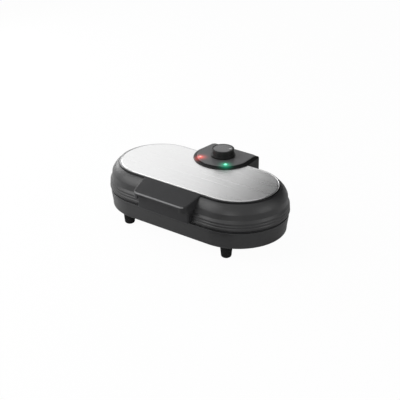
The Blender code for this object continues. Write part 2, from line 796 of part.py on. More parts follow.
def make_feet(cover_low):
    for side, across in (("left", -1), ("right", 1)):
        for end, along in (("front", -1), ("back", 1)):
            spot = (across * FOOT_X, along * FOOT_Y, 0)
            top = cover_low - GAP
            socket = PAD_RADIUS + GAP
            profile = [(0, top), (FOOT_TOP_RADIUS, top), (FOOT_END_RADIUS, PAD_PROUD + FOOT_ROUND),
                       (FOOT_END_RADIUS - FOOT_ROUND, PAD_PROUD), (socket, PAD_PROUD),
                       (socket, PAD_PROUD + PAD_INSET + GAP), (0, PAD_PROUD + PAD_INSET + GAP)]
            turned(f"foot_{end}_{side}", profile, spot, black_plastic(), steps=FOOT_STEPS)
            pad = [(0, PAD_PROUD + PAD_INSET), (PAD_RADIUS, PAD_PROUD + PAD_INSET), (PAD_RADIUS, 0), (0, 0)]
            turned(f"foot_pad_{end}_{side}", pad, spot, rubber(), steps=FOOT_STEPS)


def hood_form(name, inset, bottom, back, body=None):
    """The hood's outer form, or its hollow where it is set in: it slopes and draws in to its front."""
    bm = bmesh.new()
    bmesh.ops.create_cube(bm, size=2)
    for vert in bm.verts:
        front = vert.co.y < 0
        half = (HOOD_FRONT_HALF if front else HOOD_BACK_HALF) - inset
        top = (HOOD_FRONT_TOP if front else HOOD_BACK_TOP) - inset
        vert.co = (math.copysign(half, vert.co.x), inset - HANDLE_REACH if front else -back,
                   top if vert.co.z > 0 else bottom)
    corners = [edge for edge in bm.edges if all(vert.co.y < -PANEL_REACH for vert in edge.verts)
               and edge.verts[0].co.x == edge.verts[1].co.x]
    radius = HOOD_CORNER - inset
    bmesh.ops.bevel(bm, geom=corners, offset=radius, segments=HOOD_CORNER_STEPS, profile=0.5, affect="EDGES")
    bm.normal_update()
    above = []
    for edge in bm.edges:
        slopes = [face.normal.z for face in edge.link_faces]
        if not inset and max(slopes) > UPRIGHT_SHARE > min(slopes):
            above.append(edge)
    bmesh.ops.bevel(bm, geom=above, offset=HOOD_EDGE, segments=2, profile=0.5, affect="EDGES")
    return place(name, finish_mesh(name, bm), black_plastic(), body)


def make_handle(lid, lid_form, shell):
    """The hood, the panel under it, and the two screws that hold the panel from inside the lid."""
    back = PLATE_RADIUS - OVERRUN
    hood = hood_form("handle_hood", 0.0, PANEL_TOP + GAP, back, lid)
    hollow = hood_form("hood_hollow", HOOD_WALL, PANEL_TOP - OVERRUN, back - OVERRUN)
    boolean(hood, as_cutter(hollow))
    slot_top = HOOD_FRONT_TOP - HOOD_WALL - HOOD_EDGE
    slot = block("finger_slot", (-SLOT_HALF, -HANDLE_REACH - OVERRUN, PANEL_TOP - 2 * OVERRUN),
                 (SLOT_HALF, -PANEL_REACH, slot_top), black_plastic())
    boolean(hood, as_cutter(slot))
    boolean(hood, lid_form)
    panel = make_panel(lid, lid_form)
    head = GAP - skirt_inner()
    tip = PANEL_WALL - PANEL_REACH
    inner = 2 * OVERRUN - WAIST_RADIUS
    for end, label in ((-1, "left"), (1, "right")):
        x = end * HANDLE_SCREW_X
        drill(f"handle_hole_{label}", SCREW_RADIUS + GAP, (x, tip - GAP, HANDLE_SCREW_LEVEL),
              (x, inner, HANDLE_SCREW_LEVEL), panel, shell)
        screw(f"handle_screw_{label}", (x, head, HANDLE_SCREW_LEVEL), (x, tip, HANDLE_SCREW_LEVEL), lid)


def make_panel(lid, lid_form):
    """An open-backed box with two bosses for its screws."""
    bm = bmesh.new()
    low = Vector((-PANEL_HALF, -PANEL_REACH, PANEL_BOTTOM))
    high = Vector((PANEL_HALF, -PLATE_RADIUS, PANEL_TOP))
    size, middle = high - low, (high + low) / 2
    bmesh.ops.create_cube(bm, size=1, matrix=Matrix.Translation(middle) @ Matrix.Diagonal((*size, 1)))
    bm.normal_update()
    behind = [face for face in bm.faces if face.normal.y > LEVEL_SHARE]
    bmesh.ops.delete(bm, geom=behind, context="FACES")
    panel = place("handle_panel", finish_mesh("handle_panel", bm), black_plastic(), lid)
    bevel(panel, PANEL_EDGE)
    solidify(panel, PANEL_WALL)
    for end, label in ((-1, "left"), (1, "right")):
        start = (end * HANDLE_SCREW_X, PANEL_WALL / 2 - PANEL_REACH, HANDLE_SCREW_LEVEL)
        finish = (end * HANDLE_SCREW_X, -PLATE_RADIUS, HANDLE_SCREW_LEVEL)
        boss = rod(f"panel_boss_{label}", LUG_RADIUS, start, finish, black_plastic())
        boolean(panel, as_cutter(boss), "UNION")
    boolean(panel, lid_form)
    return panel


def make_lamps(lid, targets):
    """Two neon lamps in tubes under domed lenses: power on the left, ready on the right."""
    rim = cap_top() + GAP
    low = LID_TOP + GAP
    lens = [(0, rim + LENS_DOME)]
    for turn in LENS_TURNS:
        angle = math.radians(turn)
        lens.append((LENS_RADIUS * math.sin(angle), rim + LENS_DOME * math.cos(angle)))
    lens += [(LENS_SHANK_RADIUS, rim), (LENS_SHANK_RADIUS, low), (0, low)]
    for label, end, colour in (("power", -1, red_lens()), ("ready", 1, green_lens())):
        x = end * LAMP_X
        turned(f"{label}_lamp_lens", lens, (x, LAMP_Y, 0), colour, lid, steps=LENS_STEPS)
        rod(f"{label}_lamp_body", LENS_SHANK_RADIUS - GAP, (x, LAMP_Y, low - GAP),
            (x, LAMP_Y, low - GAP - LAMP_LENGTH), ceramic(), lid)
        drill(f"{label}_lamp_hole", LENS_SHANK_RADIUS + GAP, (x, LAMP_Y, LID_TOP - WALL - OVERRUN),
              (x, LAMP_Y, cap_top() + OVERRUN), *targets)


def thermostat_box():
    half, depth = THERMOSTAT_WIDTH / 2, THERMOSTAT_DEPTH / 2
    low = (-half, THERMOSTAT_Y - depth, plate_back(1) + GAP)
    return low, (half, THERMOSTAT_Y + depth, thermostat_top())


def make_fuse(lid):
    """A thermal fuse between the moulds, under a clip."""
    seat = plate_back(1) + GAP
    level = seat + FUSE_RADIUS
    half = FUSE_LENGTH / 2
    profile = [(0, half), (FUSE_RADIUS - FUSE_END, half), (FUSE_RADIUS, half - FUSE_END),
               (FUSE_RADIUS, FUSE_END - half), (FUSE_RADIUS - FUSE_END, -half), (0, -half)]
    turn = (math.radians(90), 0, 0)
    turned("thermal_fuse", profile, (0, 0, level), plain_steel(), lid, steps=FINE_STEPS, turn=turn)
    inner = FUSE_RADIUS + GAP
    top = level + inner
    clip = block("fuse_clip", (-CLIP_WIDTH / 2, -CLIP_DEPTH / 2, seat),
                 (CLIP_WIDTH / 2, CLIP_DEPTH / 2, top + CLIP_WALL), plain_steel(), lid)
    corner = (-inner, -CLIP_DEPTH, seat - OVERRUN)
    boolean(clip, as_cutter(block("clip_channel", corner, (inner, CLIP_DEPTH, top), black_plastic())))
    for end in (-1, 1):
        step_low, step_high = inner + CLIP_WALL, CLIP_WIDTH
        cut = block("clip_step", (min(end * step_low, end * step_high), -CLIP_DEPTH, seat + CLIP_WALL),
                    (max(end * step_low, end * step_high), CLIP_DEPTH, top + OVERRUN), black_plastic())
        boolean(clip, as_cutter(cut))


def make_hinge(lid, lid_form, base_form, console):
    """On each side: a bracket on the base, an arm on the lid beside it, and a pin through both."""
    wall = BASE_RADIUS
    bracket = [(wall - OVERRUN, BASE_EDGE - BRACKET_DROP), (wall - OVERRUN, BASE_EDGE - OVERRUN)]
    bracket += arc(HINGE_Y, HINGE_Z, BRACKET_RADIUS, 130, -60, HINGE_ARC_STEPS)
    arm = arc(HINGE_Y, HINGE_Z, ARM_RADIUS, 190, 380, HINGE_ARC_STEPS)
    root = wall - 2 * OVERRUN
    arm += [(wall + ARM_DEPTH, ARM_TOP - ARM_DEPTH), (wall + ARM_DEPTH / 2, ARM_TOP), (root, ARM_TOP)]
    arm.append((root, LID_EDGE + ARM_RADIUS))
    axis_start, axis_end = BRACKET_X - OVERRUN, BRACKET_X + BRACKET_WIDTH + ARM_WIDTH + OVERRUN
    for label, end in (("left", -1), ("right", 1)):
        near, far = BRACKET_X, BRACKET_X + BRACKET_WIDTH
        span = sorted((end * near, end * far))
        holder = flat(f"hinge_bracket_{label}", bracket, *span, black_plastic(), upright=True)
        boolean(holder, base_form)
        near, far = far + GAP, far + GAP + ARM_WIDTH
        span = sorted((end * near, end * far))
        swing = flat(f"lid_hinge_arm_{label}", arm, *span, black_plastic(), lid, upright=True)
        boolean(swing, lid_form)
        clearance = block(f"arm_clearance_{label}", (span[0] - GAP, root, CONSOLE_SKIRT_LEVEL - OVERRUN),
                          (span[1] + GAP, HINGE_Y + ARM_RADIUS + GAP, ARM_TOP + GAP), black_plastic())
        boolean(console, as_cutter(clearance))
        drill(f"pin_hole_{label}", PIN_RADIUS + GAP, (end * axis_start, HINGE_Y, HINGE_Z),
              (end * axis_end, HINGE_Y, HINGE_Z), holder, swing)
        make_pin(f"hinge_pin_{label}", end, BRACKET_X - GAP, far + GAP)


def make_pin(name, end, near, far):
    """A pin with a head at each end, as it is once riveted."""
    outer, inner = far + PIN_HEAD, near - PIN_HEAD
    profile = [(0, outer), (PIN_HEAD_RADIUS, outer), (PIN_HEAD_RADIUS, far), (PIN_RADIUS, far)]
    profile += [(PIN_RADIUS, near), (PIN_HEAD_RADIUS, near), (PIN_HEAD_RADIUS, inner), (0, inner)]
    turn = (0, end * math.radians(90), 0)
    turned(name, profile, (0, HINGE_Y, HINGE_Z), plain_steel(), steps=FINE_STEPS, turn=turn)


def base_cutter():
    """The base's outer form grown by the gap, which cuts the hinge brackets."""
    radius = BASE_RADIUS + GAP
    foot = BASE_FOOT_RADIUS + GAP
    points = [(0, BASE_EDGE), (radius, BASE_EDGE), (radius, BASE_EDGE - BASE_ROUND)]
    points += [(foot + GAP, BASE_KNEE_LEVEL), (foot, BASE_BOTTOM), (0, BASE_BOTTOM)]
    return as_cutter(stadium("base_clearance", points, black_plastic()))


def make_gland():
    """The cord's gland in the back wall, with its bore open."""
    outside = BASE_RADIUS + GAP
    inside = BASE_FOOT_RADIUS - WALL - OVERRUN
    tip = outside + GAP + GLAND_REACH
    taper = GLAND_RADIUS * GLAND_TAPER_SHARE
    collar = outside + GLAND_COLLAR
    profile = [(CORD_RADIUS, tip), (taper, tip), (GLAND_RADIUS, collar), (GLAND_COLLAR_RADIUS, collar)]
    profile += [(GLAND_COLLAR_RADIUS, outside), (GLAND_RADIUS, outside)]
    profile += [(GLAND_RADIUS, inside), (CORD_RADIUS, inside)]
    spot, turn = (GLAND_X, 0, GLAND_LEVEL), (math.radians(-90), 0, 0)
    turned("cord_gland", profile, spot, rubber(), steps=FINE_STEPS, turn=turn, closed=True)


def terminal_box():
    low = FLANGE_LEVEL + WALL + GAP
    half, depth = BLOCK_WIDTH / 2, BLOCK_DEPTH / 2
    near, far = (GLAND_X - half, BLOCK_Y - depth), (GLAND_X + half, BLOCK_Y + depth)
    return (*near, low), (*far, low + BLOCK_HEIGHT)


def make_terminal_block():
    """A block with a screw hole for each wire that meets the cord."""
    corners = terminal_box()
    high = corners[1][2]
    thing = block("terminal_block", *corners, ceramic(), edge=BLOCK_EDGE)
    pitch = BLOCK_WIDTH / BLOCK_POSTS
    for number in range(BLOCK_POSTS):
        x = GLAND_X + (number - (BLOCK_POSTS - 1) / 2) * pitch
        start, end = (x, BLOCK_Y, high - BLOCK_HOLE_DEPTH), (x, BLOCK_Y, high + OVERRUN)
        drill(f"block_hole_{number}", BLOCK_HOLE_RADIUS, start, end, thing)


def make_lid(lid, knob):
    lid_form = casing_cutter()
    shell = make_lid_shell(lid)
    make_top_plate(lid, console_cutter())
    console, cap = make_console(lid, lid_form)
    low = LID_TOP - WALL - OVERRUN
    start, end = (0, KNOB_Y, SHOULDER_LEVEL), (0, KNOB_Y, KNOB_TOP)
    drill("shaft_hole", SHAFT_RADIUS + SHAFT_CLEARANCE, start, end, shell, console, cap)
    for number, (x, y) in enumerate(tie_spots()):
        drill(f"lid_tie_hole_{number}", SCREW_RADIUS + GAP, (x, y, low), (x, y, LID_TOP + OVERRUN), shell)
    make_lamps(lid, (shell, console, cap))
    make_handle(lid, plated_cutter(), shell)
    make_cooking_plate("upper_cooking_plate", 1, lid)
    make_element("upper_element", 1, lid)
    make_reflector("upper_reflector", 1, lid, thermostat_box())
    make_screws(1, "lid", lid, LID_TOP + GAP)
    block("thermostat_body", *thermostat_box(), ceramic(), lid, THERMOSTAT_EDGE)
    make_fuse(lid)
    make_knob(knob)
    make_hinge(lid, lid_form, base_cutter(), console)


def make_base():
    make_base_shell()
    cover_low = make_bottom_cover()
    make_feet(cover_low)
    make_cooking_plate("lower_cooking_plate", -1, None)
    make_element("lower_element", -1, None)
    make_reflector("lower_reflector", -1, None, terminal_box())
    make_screws(-1, "base", None, cover_low - GAP)
    make_gland()
    make_terminal_block()


def main():
    clear_scene()
    lid = axis_empty("lid_axis", (0, HINGE_Y, HINGE_Z))
    knob = axis_empty("knob_axis", (0, KNOB_Y, CONSOLE_LEVEL))
    knob.parent = lid
    knob.matrix_parent_inverse = Matrix.Translation(-lid.location)
    make_base()
    make_lid(lid, knob)


main()
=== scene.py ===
"""Dresses the pancake maker: finer pieces, materials, lamps, floor and camera."""
import math

import bmesh
import bpy
from mathutils import Matrix, Vector


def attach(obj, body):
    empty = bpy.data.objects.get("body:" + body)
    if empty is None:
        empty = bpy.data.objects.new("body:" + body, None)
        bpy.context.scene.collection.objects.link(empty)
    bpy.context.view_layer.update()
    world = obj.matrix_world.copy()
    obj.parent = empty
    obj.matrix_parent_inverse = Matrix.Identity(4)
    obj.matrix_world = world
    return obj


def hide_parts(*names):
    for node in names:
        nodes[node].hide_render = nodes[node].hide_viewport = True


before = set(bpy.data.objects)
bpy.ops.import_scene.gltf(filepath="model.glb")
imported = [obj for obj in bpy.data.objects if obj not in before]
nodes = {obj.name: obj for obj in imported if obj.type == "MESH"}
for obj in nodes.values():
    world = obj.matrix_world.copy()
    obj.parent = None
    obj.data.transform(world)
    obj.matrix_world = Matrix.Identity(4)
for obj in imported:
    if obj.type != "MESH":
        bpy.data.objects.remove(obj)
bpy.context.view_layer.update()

GAP = 0.0003
STEPS = 96
ROUND = 96
SMALL = 40
HALF_STRAIGHT = 0.0935
BASE_BOTTOM, BASE_EDGE, LID_EDGE = 0.028, 0.0622, 0.0672
LID_TOP, PLATE_TOP = 0.1150, 0.1186
PARTING = (BASE_EDGE + LID_EDGE) / 2
WALL = 0.0025
LEDGE_RADIUS, PLATE_RADIUS = 0.0826, 0.0815
SHOULDER_RADIUS, SHOULDER_LEVEL = 0.0954, 0.098
WAIST_RADIUS, WAIST_LEVEL = 0.0962, 0.0868
FLARE_RADIUS, FLARE_LEVEL = 0.0992, 0.0822
SKIRT_RADIUS = 0.1004
BASE_RADIUS, BASE_FOOT_RADIUS, BASE_ROUND = 0.0983, 0.0951, 0.0060
FLANGE_RADIUS, FLANGE_THICKNESS = 0.0966, 0.002
SCREW_X, SCREW_Y = 0.022, 0.061
MOULD_X, MOULD_RADIUS, MOULD_DEPTH, MOULD_DRAFT = 0.088, 0.074, 0.009, 0.003
KNOB_Y, KNOB_RADIUS, KNOB_SKIRT_RADIUS, KNOB_TOP = 0.0808, 0.0222, 0.0243, 0.1395
DISC_RADIUS, DISC_THICKNESS = 0.0188, 0.0009
CONSOLE_LEVEL, CAP_TOP = 0.1222, 0.1239
LAMP_X, LAMP_Y, LENS_RADIUS = 0.0306, 0.0473, 0.0036
HOOD_REACH, HOOD_BACK_HALF, HOOD_FRONT_HALF = 0.126, 0.0675, 0.0612
HOOD_BACK_TOP, HOOD_FRONT_TOP = 0.1191, 0.1054
PANEL_HALF, PANEL_REACH, PANEL_BOTTOM, PANEL_TOP = 0.0606, 0.1115, 0.0662, 0.0930
FOOT_X, FOOT_Y = 0.118, 0.069
RIBS, RIB_PITCH = 2, 0.0055
SCREW_HOLE, SHAFT_HOLE, LAMP_HOLE = 0.00205, 0.0038, 0.0032
HANDLE_SCREW_X, HANDLE_SCREW_Z = 0.040, 0.0765
GLAND_X, GLAND_Z = -0.074, 0.0455
GROOVE_RADIUS, ROLL_RADIUS, EDGE_RADIUS = 0.0768, 0.0790, 0.0798
CUP_RADIUS, CUP_DEPTH = 0.0765, 0.0115
LUG_RADIUS, BOSS_RADIUS, GLAND_BORE = 0.0045, 0.0045, 0.0071
KNOB_LINES, KNOB_LINE_PITCH, POINTER_TURN = 3, 0.0028, 28
CONSOLE_WALL = (0.0846, 0.0607, 0.0575, 0.126, 0.0045)
CONSOLE_EDGE = (0.0837, 0.0538, 0.0516, 0.1216, 0.0045)
PLATE_OPENING = (0.0846, 0.0610, 0.0578, 0.1263, 0.0048)
CAMERA_AZIMUTH, CAMERA_ELEVATION, CAMERA_DISTANCE = 37.10, 25.78, 2.2
CAMERA_TARGET, CAMERA_LENS, CAMERA_SENSOR = (0.0801, -0.1005, 0.119), 108.0, 36.0
FLOOR_REACH, FLOOR_DEPTH = 6, 0.01


# Materials.
class Paint:
    """A Principled material and shortcuts for the nodes behind it."""

    def __init__(self, name, roughness=0.5, metallic=0.0, specular=0.5):
        self.made = bpy.data.materials.new(name)
        self.made.use_nodes = True
        self.tree = self.made.node_tree
        self.shader = self.tree.nodes["Principled BSDF"]
        self.shader.inputs["Roughness"].default_value = roughness
        self.shader.inputs["Metallic"].default_value = metallic
        self.shader.inputs["Specular IOR Level"].default_value = specular
        self.place = self.tree.nodes.new("ShaderNodeTexCoord").outputs["Object"]
        self.height = None

    def node(self, kind, **settings):
        made = self.tree.nodes.new(kind)
        for name, value in settings.items():
            setattr(made, name, value)
        return made

    def link(self, start, end):
        self.tree.links.new(start, end)

    def stretched(self, scale):
        mapping = self.node("ShaderNodeMapping")
        mapping.inputs["Scale"].default_value = scale
        self.link(self.place, mapping.inputs["Vector"])
        return mapping.outputs["Vector"]

    def noise(self, scale, detail=4.0, stretch=None, roughness=0.5):
        made = self.node("ShaderNodeTexNoise")
        made.inputs["Scale"].default_value = scale
        made.inputs["Detail"].default_value = detail
        made.inputs["Roughness"].default_value = roughness
        self.link(self.stretched(stretch) if stretch else self.place, made.inputs["Vector"])
        return made.outputs["Fac"]

    def spread(self, source, low, high, start=0.3, end=0.7):
        made = self.node("ShaderNodeMapRange")
        for name, value in (("From Min", start), ("From Max", end), ("To Min", low), ("To Max", high)):
            made.inputs[name].default_value = value
        self.link(source, made.inputs["Value"])
        return made.outputs["Result"]

    def maths(self, operation, one, two=None):
        made = self.node("ShaderNodeMath", operation=operation)
        for socket, value in zip(made.inputs, (one, two)):
            if isinstance(value, (int, float)):
                socket.default_value = value
            elif value is not None:
                self.link(value, socket)
        return made.outputs["Value"]

    def mix(self, share, one, two):
        made = self.node("ShaderNodeMix", data_type="RGBA")
        for socket, value in ((made.inputs[0], share), (made.inputs[6], one), (made.inputs[7], two)):
            if isinstance(value, (int, float)):
                socket.default_value = value
            elif isinstance(value, tuple):
                socket.default_value = (*value, 1.0)
            else:
                self.link(value, socket)
        return made.outputs[2]

    def bump(self, source, strength, distance):
        made = self.node("ShaderNodeBump")
        made.inputs["Strength"].default_value = strength
        made.inputs["Distance"].default_value = distance
        self.link(source, made.inputs["Height"])
        if self.height:
            self.link(self.height, made.inputs["Normal"])
        self.height = made.outputs["Normal"]
        self.link(self.height, self.shader.inputs["Normal"])

    def colour(self, source):
        if isinstance(source, tuple):
            self.shader.inputs["Base Color"].default_value = (*source, 1.0)
        else:
            self.link(source, self.shader.inputs["Base Color"])

    def rough(self, source):
        self.link(source, self.shader.inputs["Roughness"])

    def axis(self, letter):
        parts = self.node("ShaderNodeSeparateXYZ")
        self.link(self.place, parts.inputs[0])
        return parts.outputs[letter]

    def distance(self, spot):
        made = self.node("ShaderNodeVectorMath", operation="DISTANCE")
        made.inputs[1].default_value = spot
        self.link(self.place, made.inputs[0])
        return made.outputs["Value"]


def moulded(name, dark, light, rough=(0.36, 0.48), specular=0.35, grain=2600.0, depth=0.00004):
    """Moulded plastic: a fine even grain, faint flow marks, and paler worn edges."""
    paint = Paint(name, specular=specular)
    flow = paint.noise(38.0, detail=3.0)
    specks = paint.noise(900.0, detail=2.0)
    base = paint.mix(paint.spread(flow, 0.0, 1.0), dark, light)
    worn = tuple(min(1.0, part * 1.9 + 0.012) for part in light)
    edge = paint.node("ShaderNodeNewGeometry").outputs["Pointiness"]
    base = paint.mix(paint.spread(edge, 0.0, 0.14, 0.52, 0.60), base, worn)
    base = paint.mix(paint.spread(specks, 0.0, 0.12), base, worn)
    paint.colour(base)
    blend = paint.maths("ADD", flow, paint.maths("MULTIPLY", specks, 0.4))
    paint.rough(paint.spread(blend, *rough, 0.5, 0.9))
    paint.bump(paint.noise(grain, detail=2.0), 0.5, depth)
    return paint


def glowing(paint, spots):
    """The light that the two lamps spill on what surrounds them."""
    total = None
    for spot, hue, reach, power in spots:
        near = paint.maths("DIVIDE", paint.distance(spot), reach)
        square = paint.maths("MULTIPLY", near, near)
        fade = paint.maths("POWER", 2.718, paint.maths("MULTIPLY", square, -1.0))
        fall = paint.maths("MULTIPLY", fade, power)
        lit = paint.mix(fall, (0.0, 0.0, 0.0), hue)
        if total:
            add = paint.node("ShaderNodeMix", data_type="RGBA", blend_type="ADD")
            add.inputs[0].default_value = 1.0
            paint.link(total, add.inputs[6])
            paint.link(lit, add.inputs[7])
            total = add.outputs[2]
        else:
            total = lit
    paint.link(total, paint.shader.inputs["Emission Color"])
    paint.shader.inputs["Emission Strength"].default_value = 1.0
    return paint


LAMP_SPOTS = (((-LAMP_X, LAMP_Y, CAP_TOP), (1.0, 0.12, 0.09), 0.0092, 0.72),
              ((LAMP_X, LAMP_Y, CAP_TOP), (0.0, 0.62, 0.33), 0.0090, 0.60))


def brushed(name, colour, rough=(0.25, 0.33), stretch=(9.0, 2400.0, 2400.0), darker=None):
    """Steel brushed lengthways: fine streaks in colour, roughness and height."""
    paint = Paint(name, metallic=1.0)
    streak = paint.noise(1.0, detail=6.0, stretch=stretch, roughness=0.7)
    wide = paint.noise(1.0, detail=3.0, stretch=(2.0, 60.0, 60.0))
    low = tuple(part * 0.965 for part in colour)
    base = paint.mix(paint.spread(streak, 0.0, 1.0, 0.25, 0.75), low, colour)
    # darker paints reflection and shade over the streaks.
    if darker:
        base = darker(paint, base)
    paint.colour(base)
    paint.rough(paint.spread(paint.maths("ADD", streak, wide), *rough, 0.7, 1.3))
    paint.bump(streak, 0.05, 0.000004)
    return paint


def border_shade(paint, base):
    """Painted reflection and shade on the sheet: its border outside the groove painted duller, a dark painted
    line along the groove, and dark painted shade on the edge rolled under.
    """
    past = paint.maths("SUBTRACT", paint.maths("ABSOLUTE", paint.axis("X")), HALF_STRAIGHT)
    beyond = paint.maths("MAXIMUM", past, 0.0)
    across = paint.axis("Y")
    one, two = (paint.maths("MULTIPLY", reach, reach) for reach in (beyond, across))
    radius = paint.maths("SQRT", paint.maths("ADD", one, two))
    # Painted reflection: the border outside the groove is painted grey, standing in for dark surroundings
    # reflected in it.
    border = paint.mix(paint.spread(radius, 0.0, 1.0, 0.0776, 0.0784), base, (0.52, 0.52, 0.525))
    # Painted shade: a dark line painted along the groove.
    off = paint.maths("ABSOLUTE", paint.maths("SUBTRACT", radius, GROOVE_RADIUS))
    line = paint.maths("SUBTRACT", 1.0, paint.spread(off, 0.0, 1.0, 0.0002, 0.0009))
    border = paint.mix(line, border, (0.22, 0.22, 0.222))
    # Painted shade: the rolled edge and its rim are painted dark.
    for start, shade in ((ROLL_RADIUS, (0.08, 0.08, 0.082)), (EDGE_RADIUS, (0.02, 0.02, 0.0205))):
        border = paint.mix(paint.spread(radius, 0.0, 1.0, start, start + 0.0006), border, shade)
    return border


def cast(name):
    """Non-stick coating on cast metal: near black, with fine pale flecks and a soft sheen."""
    paint = Paint(name, metallic=0.1, specular=0.3)
    cells = paint.node("ShaderNodeTexVoronoi")
    cells.inputs["Scale"].default_value = 900.0
    paint.link(paint.place, cells.inputs["Vector"])
    flecks = paint.spread(cells.outputs["Distance"], 1.0, 0.0, 0.05, 0.16)
    cloud = paint.noise(60.0, detail=4.0)
    base = paint.mix(paint.spread(cloud, 0.0, 1.0), (0.010, 0.010, 0.011), (0.016, 0.016, 0.017))
    paint.colour(paint.mix(paint.maths("MULTIPLY", flecks, 0.35), base, (0.12, 0.12, 0.125)))
    paint.rough(paint.spread(cloud, 0.26, 0.38))
    paint.bump(paint.noise(1500.0, detail=3.0), 0.35, 0.00006)
    return paint


def metal(name, colour, rough=(0.25, 0.45), scale=300.0):
    """Plain metal with a faint cloud in colour and roughness."""
    paint = Paint(name, metallic=1.0)
    cloud = paint.noise(scale, detail=5.0)
    paint.colour(paint.mix(paint.spread(cloud, 0.0, 1.0), tuple(part * 0.8 for part in colour), colour))
    paint.rough(paint.spread(cloud, *rough))
    paint.bump(paint.noise(scale * 5, detail=3.0), 0.2, 0.00003)
    return paint


def soft_rubber():
    """Black rubber with a fine matt grain."""
    paint = Paint("rubber", specular=0.3)
    cloud = paint.noise(120.0, detail=4.0)
    paint.colour(paint.mix(paint.spread(cloud, 0.0, 1.0), (0.010, 0.010, 0.010), (0.020, 0.020, 0.021)))
    paint.rough(paint.spread(cloud, 0.65, 0.85))
    paint.bump(paint.noise(1800.0, detail=2.0), 0.5, 0.00006)
    return paint


def glazed():
    """Pale ceramic with a soft glaze."""
    paint = Paint("ceramic")
    cloud = paint.noise(200.0, detail=4.0)
    paint.colour(paint.mix(paint.spread(cloud, 0.0, 1.0), (0.74, 0.71, 0.64), (0.82, 0.80, 0.75)))
    paint.rough(paint.spread(cloud, 0.25, 0.45))
    paint.bump(paint.noise(700.0, detail=3.0), 0.3, 0.00008)
    return paint


def lens(name, hue, core, spot):
    """A lit lens: pale where its lamp is, deeper in colour to its edge."""
    paint = Paint(name, roughness=0.12)
    grain = paint.noise(800.0, detail=2.0)
    middle = paint.spread(paint.distance(spot), 1.0, 0.0, 0.0004, 0.0034)
    glow = paint.mix(middle, hue, core)
    paint.colour(paint.mix(paint.spread(grain, 0.0, 0.3), hue, core))
    paint.link(glow, paint.shader.inputs["Emission Color"])
    paint.shader.inputs["Emission Strength"].default_value = 1.2
    paint.bump(grain, 0.15, 0.00004)
    return paint


def white_mark():
    """The pale paint of the knob's pointer."""
    paint = Paint("mark_paint")
    grain = paint.noise(1500.0, detail=3.0)
    paint.colour(paint.mix(paint.spread(grain, 0.0, 1.0), (0.68, 0.68, 0.68), (0.80, 0.80, 0.80)))
    paint.rough(paint.spread(grain, 0.4, 0.6))
    return paint


casing = moulded("casing_plastic", (0.0125, 0.0125, 0.013), (0.0160, 0.0160, 0.0166), specular=0.42).made
handle_paint = moulded("handle_plastic", (0.016, 0.016, 0.017), (0.020, 0.020, 0.021),
                       rough=(0.40, 0.50), specular=0.2).made
# Painted highlight: the hood's front lip gets a paler plastic that stands in for the highlight along its
# rounded edge.
lip_highlight_paint = moulded("lip_painted_highlight", (0.075, 0.075, 0.077), (0.090, 0.090, 0.092),
                    rough=(0.24, 0.32), specular=0.5).made
foot_paint = moulded("foot_plastic", (0.008, 0.008, 0.008), (0.011, 0.011, 0.011),
                     rough=(0.5, 0.6), specular=0.05).made
console_plastic = moulded("console_plastic", (0.006, 0.006, 0.006), (0.009, 0.009, 0.009),
                          rough=(0.3, 0.4), specular=0.10)
console_paint = glowing(console_plastic, LAMP_SPOTS).made
cap_plastic = moulded("cap_plastic", (0.080, 0.080, 0.082), (0.094, 0.094, 0.096),
                      rough=(0.34, 0.42), specular=0.3)
cap_paint = glowing(cap_plastic, LAMP_SPOTS).made
knob_paint = moulded("knob_plastic", (0.008, 0.008, 0.008), (0.011, 0.011, 0.011),
                     rough=(0.30, 0.42), specular=0.14).made
disc_paint = brushed("disc_metal", (0.17, 0.17, 0.173), stretch=(20.0, 700.0, 700.0)).made
steel = brushed("top_steel", (0.90, 0.90, 0.90), darker=border_shade).made
plain = metal("plain_steel", (0.52, 0.52, 0.52)).made
sheath = metal("element_sheath", (0.20, 0.18, 0.16), rough=(0.4, 0.6)).made
coating = cast("non_stick_coating").made
rubber = soft_rubber().made
ceramic = glazed().made
red = lens("red_lens", (0.95, 0.06, 0.04), (1.0, 0.62, 0.55), (-LAMP_X, LAMP_Y, CAP_TOP + 0.0012)).made
green = lens("green_lens", (0.0, 0.62, 0.30), (0.60, 1.0, 0.80), (LAMP_X, LAMP_Y, CAP_TOP + 0.0012)).made
mark = white_mark().made


# Mesh helpers.
def rounded(points, closed=False):
    """A chain of (across, up, radius) corners with each corner turned into an arc."""
    made = []
    count = len(points)
    for number, (across, up, radius) in enumerate(points):
        here = Vector((across, up))
        if not radius or (not closed and number in (0, count - 1)):
            made.append(here)
            continue
        before = (Vector(points[number - 1][:2]) - here)
        after = (Vector(points[(number + 1) % count][:2]) - here)
        half = before.angle(after) / 2
        if half > math.radians(89):
            made.append(here)
            continue
        reach = radius / math.tan(half)
        reach = min(reach, before.length * 0.49, after.length * 0.49)
        radius = reach * math.tan(half)
        centre = here + (before.normalized() + after.normalized()).normalized() * radius / math.sin(half)
        start = here + before.normalized() * reach - centre
        end = here + after.normalized() * reach - centre
        turn = start.angle_signed(end)
        bits = max(2, int(abs(math.degrees(turn)) / 12))
        for bit in range(bits + 1):
            made.append(centre + Matrix.Rotation(-turn * bit / bits, 2) @ start)
    return [(point.x, point.y) for point in made]


def shade(mesh, angle):
    """Smooth shading, but for edges over the angle and faces of many corners, which are flat."""
    mesh.shade_smooth()
    mesh.set_sharp_from_angle(angle=math.radians(angle))
    for face in mesh.polygons:
        if len(face.vertices) > 6:
            face.use_smooth = False


def finish_mesh(name, bm, paint, angle=32):
    """Turns a bmesh into a shaded object of one material."""
    bmesh.ops.remove_doubles(bm, verts=bm.verts, dist=0.000002)
    bmesh.ops.recalc_face_normals(bm, faces=bm.faces)
    mesh = bpy.data.meshes.new(name)
    bm.to_mesh(mesh)
    bm.free()
    shade(mesh, angle)
    mesh.materials.append(paint)
    thing = bpy.data.objects.new(name, mesh)
    bpy.context.scene.collection.objects.link(thing)
    return thing


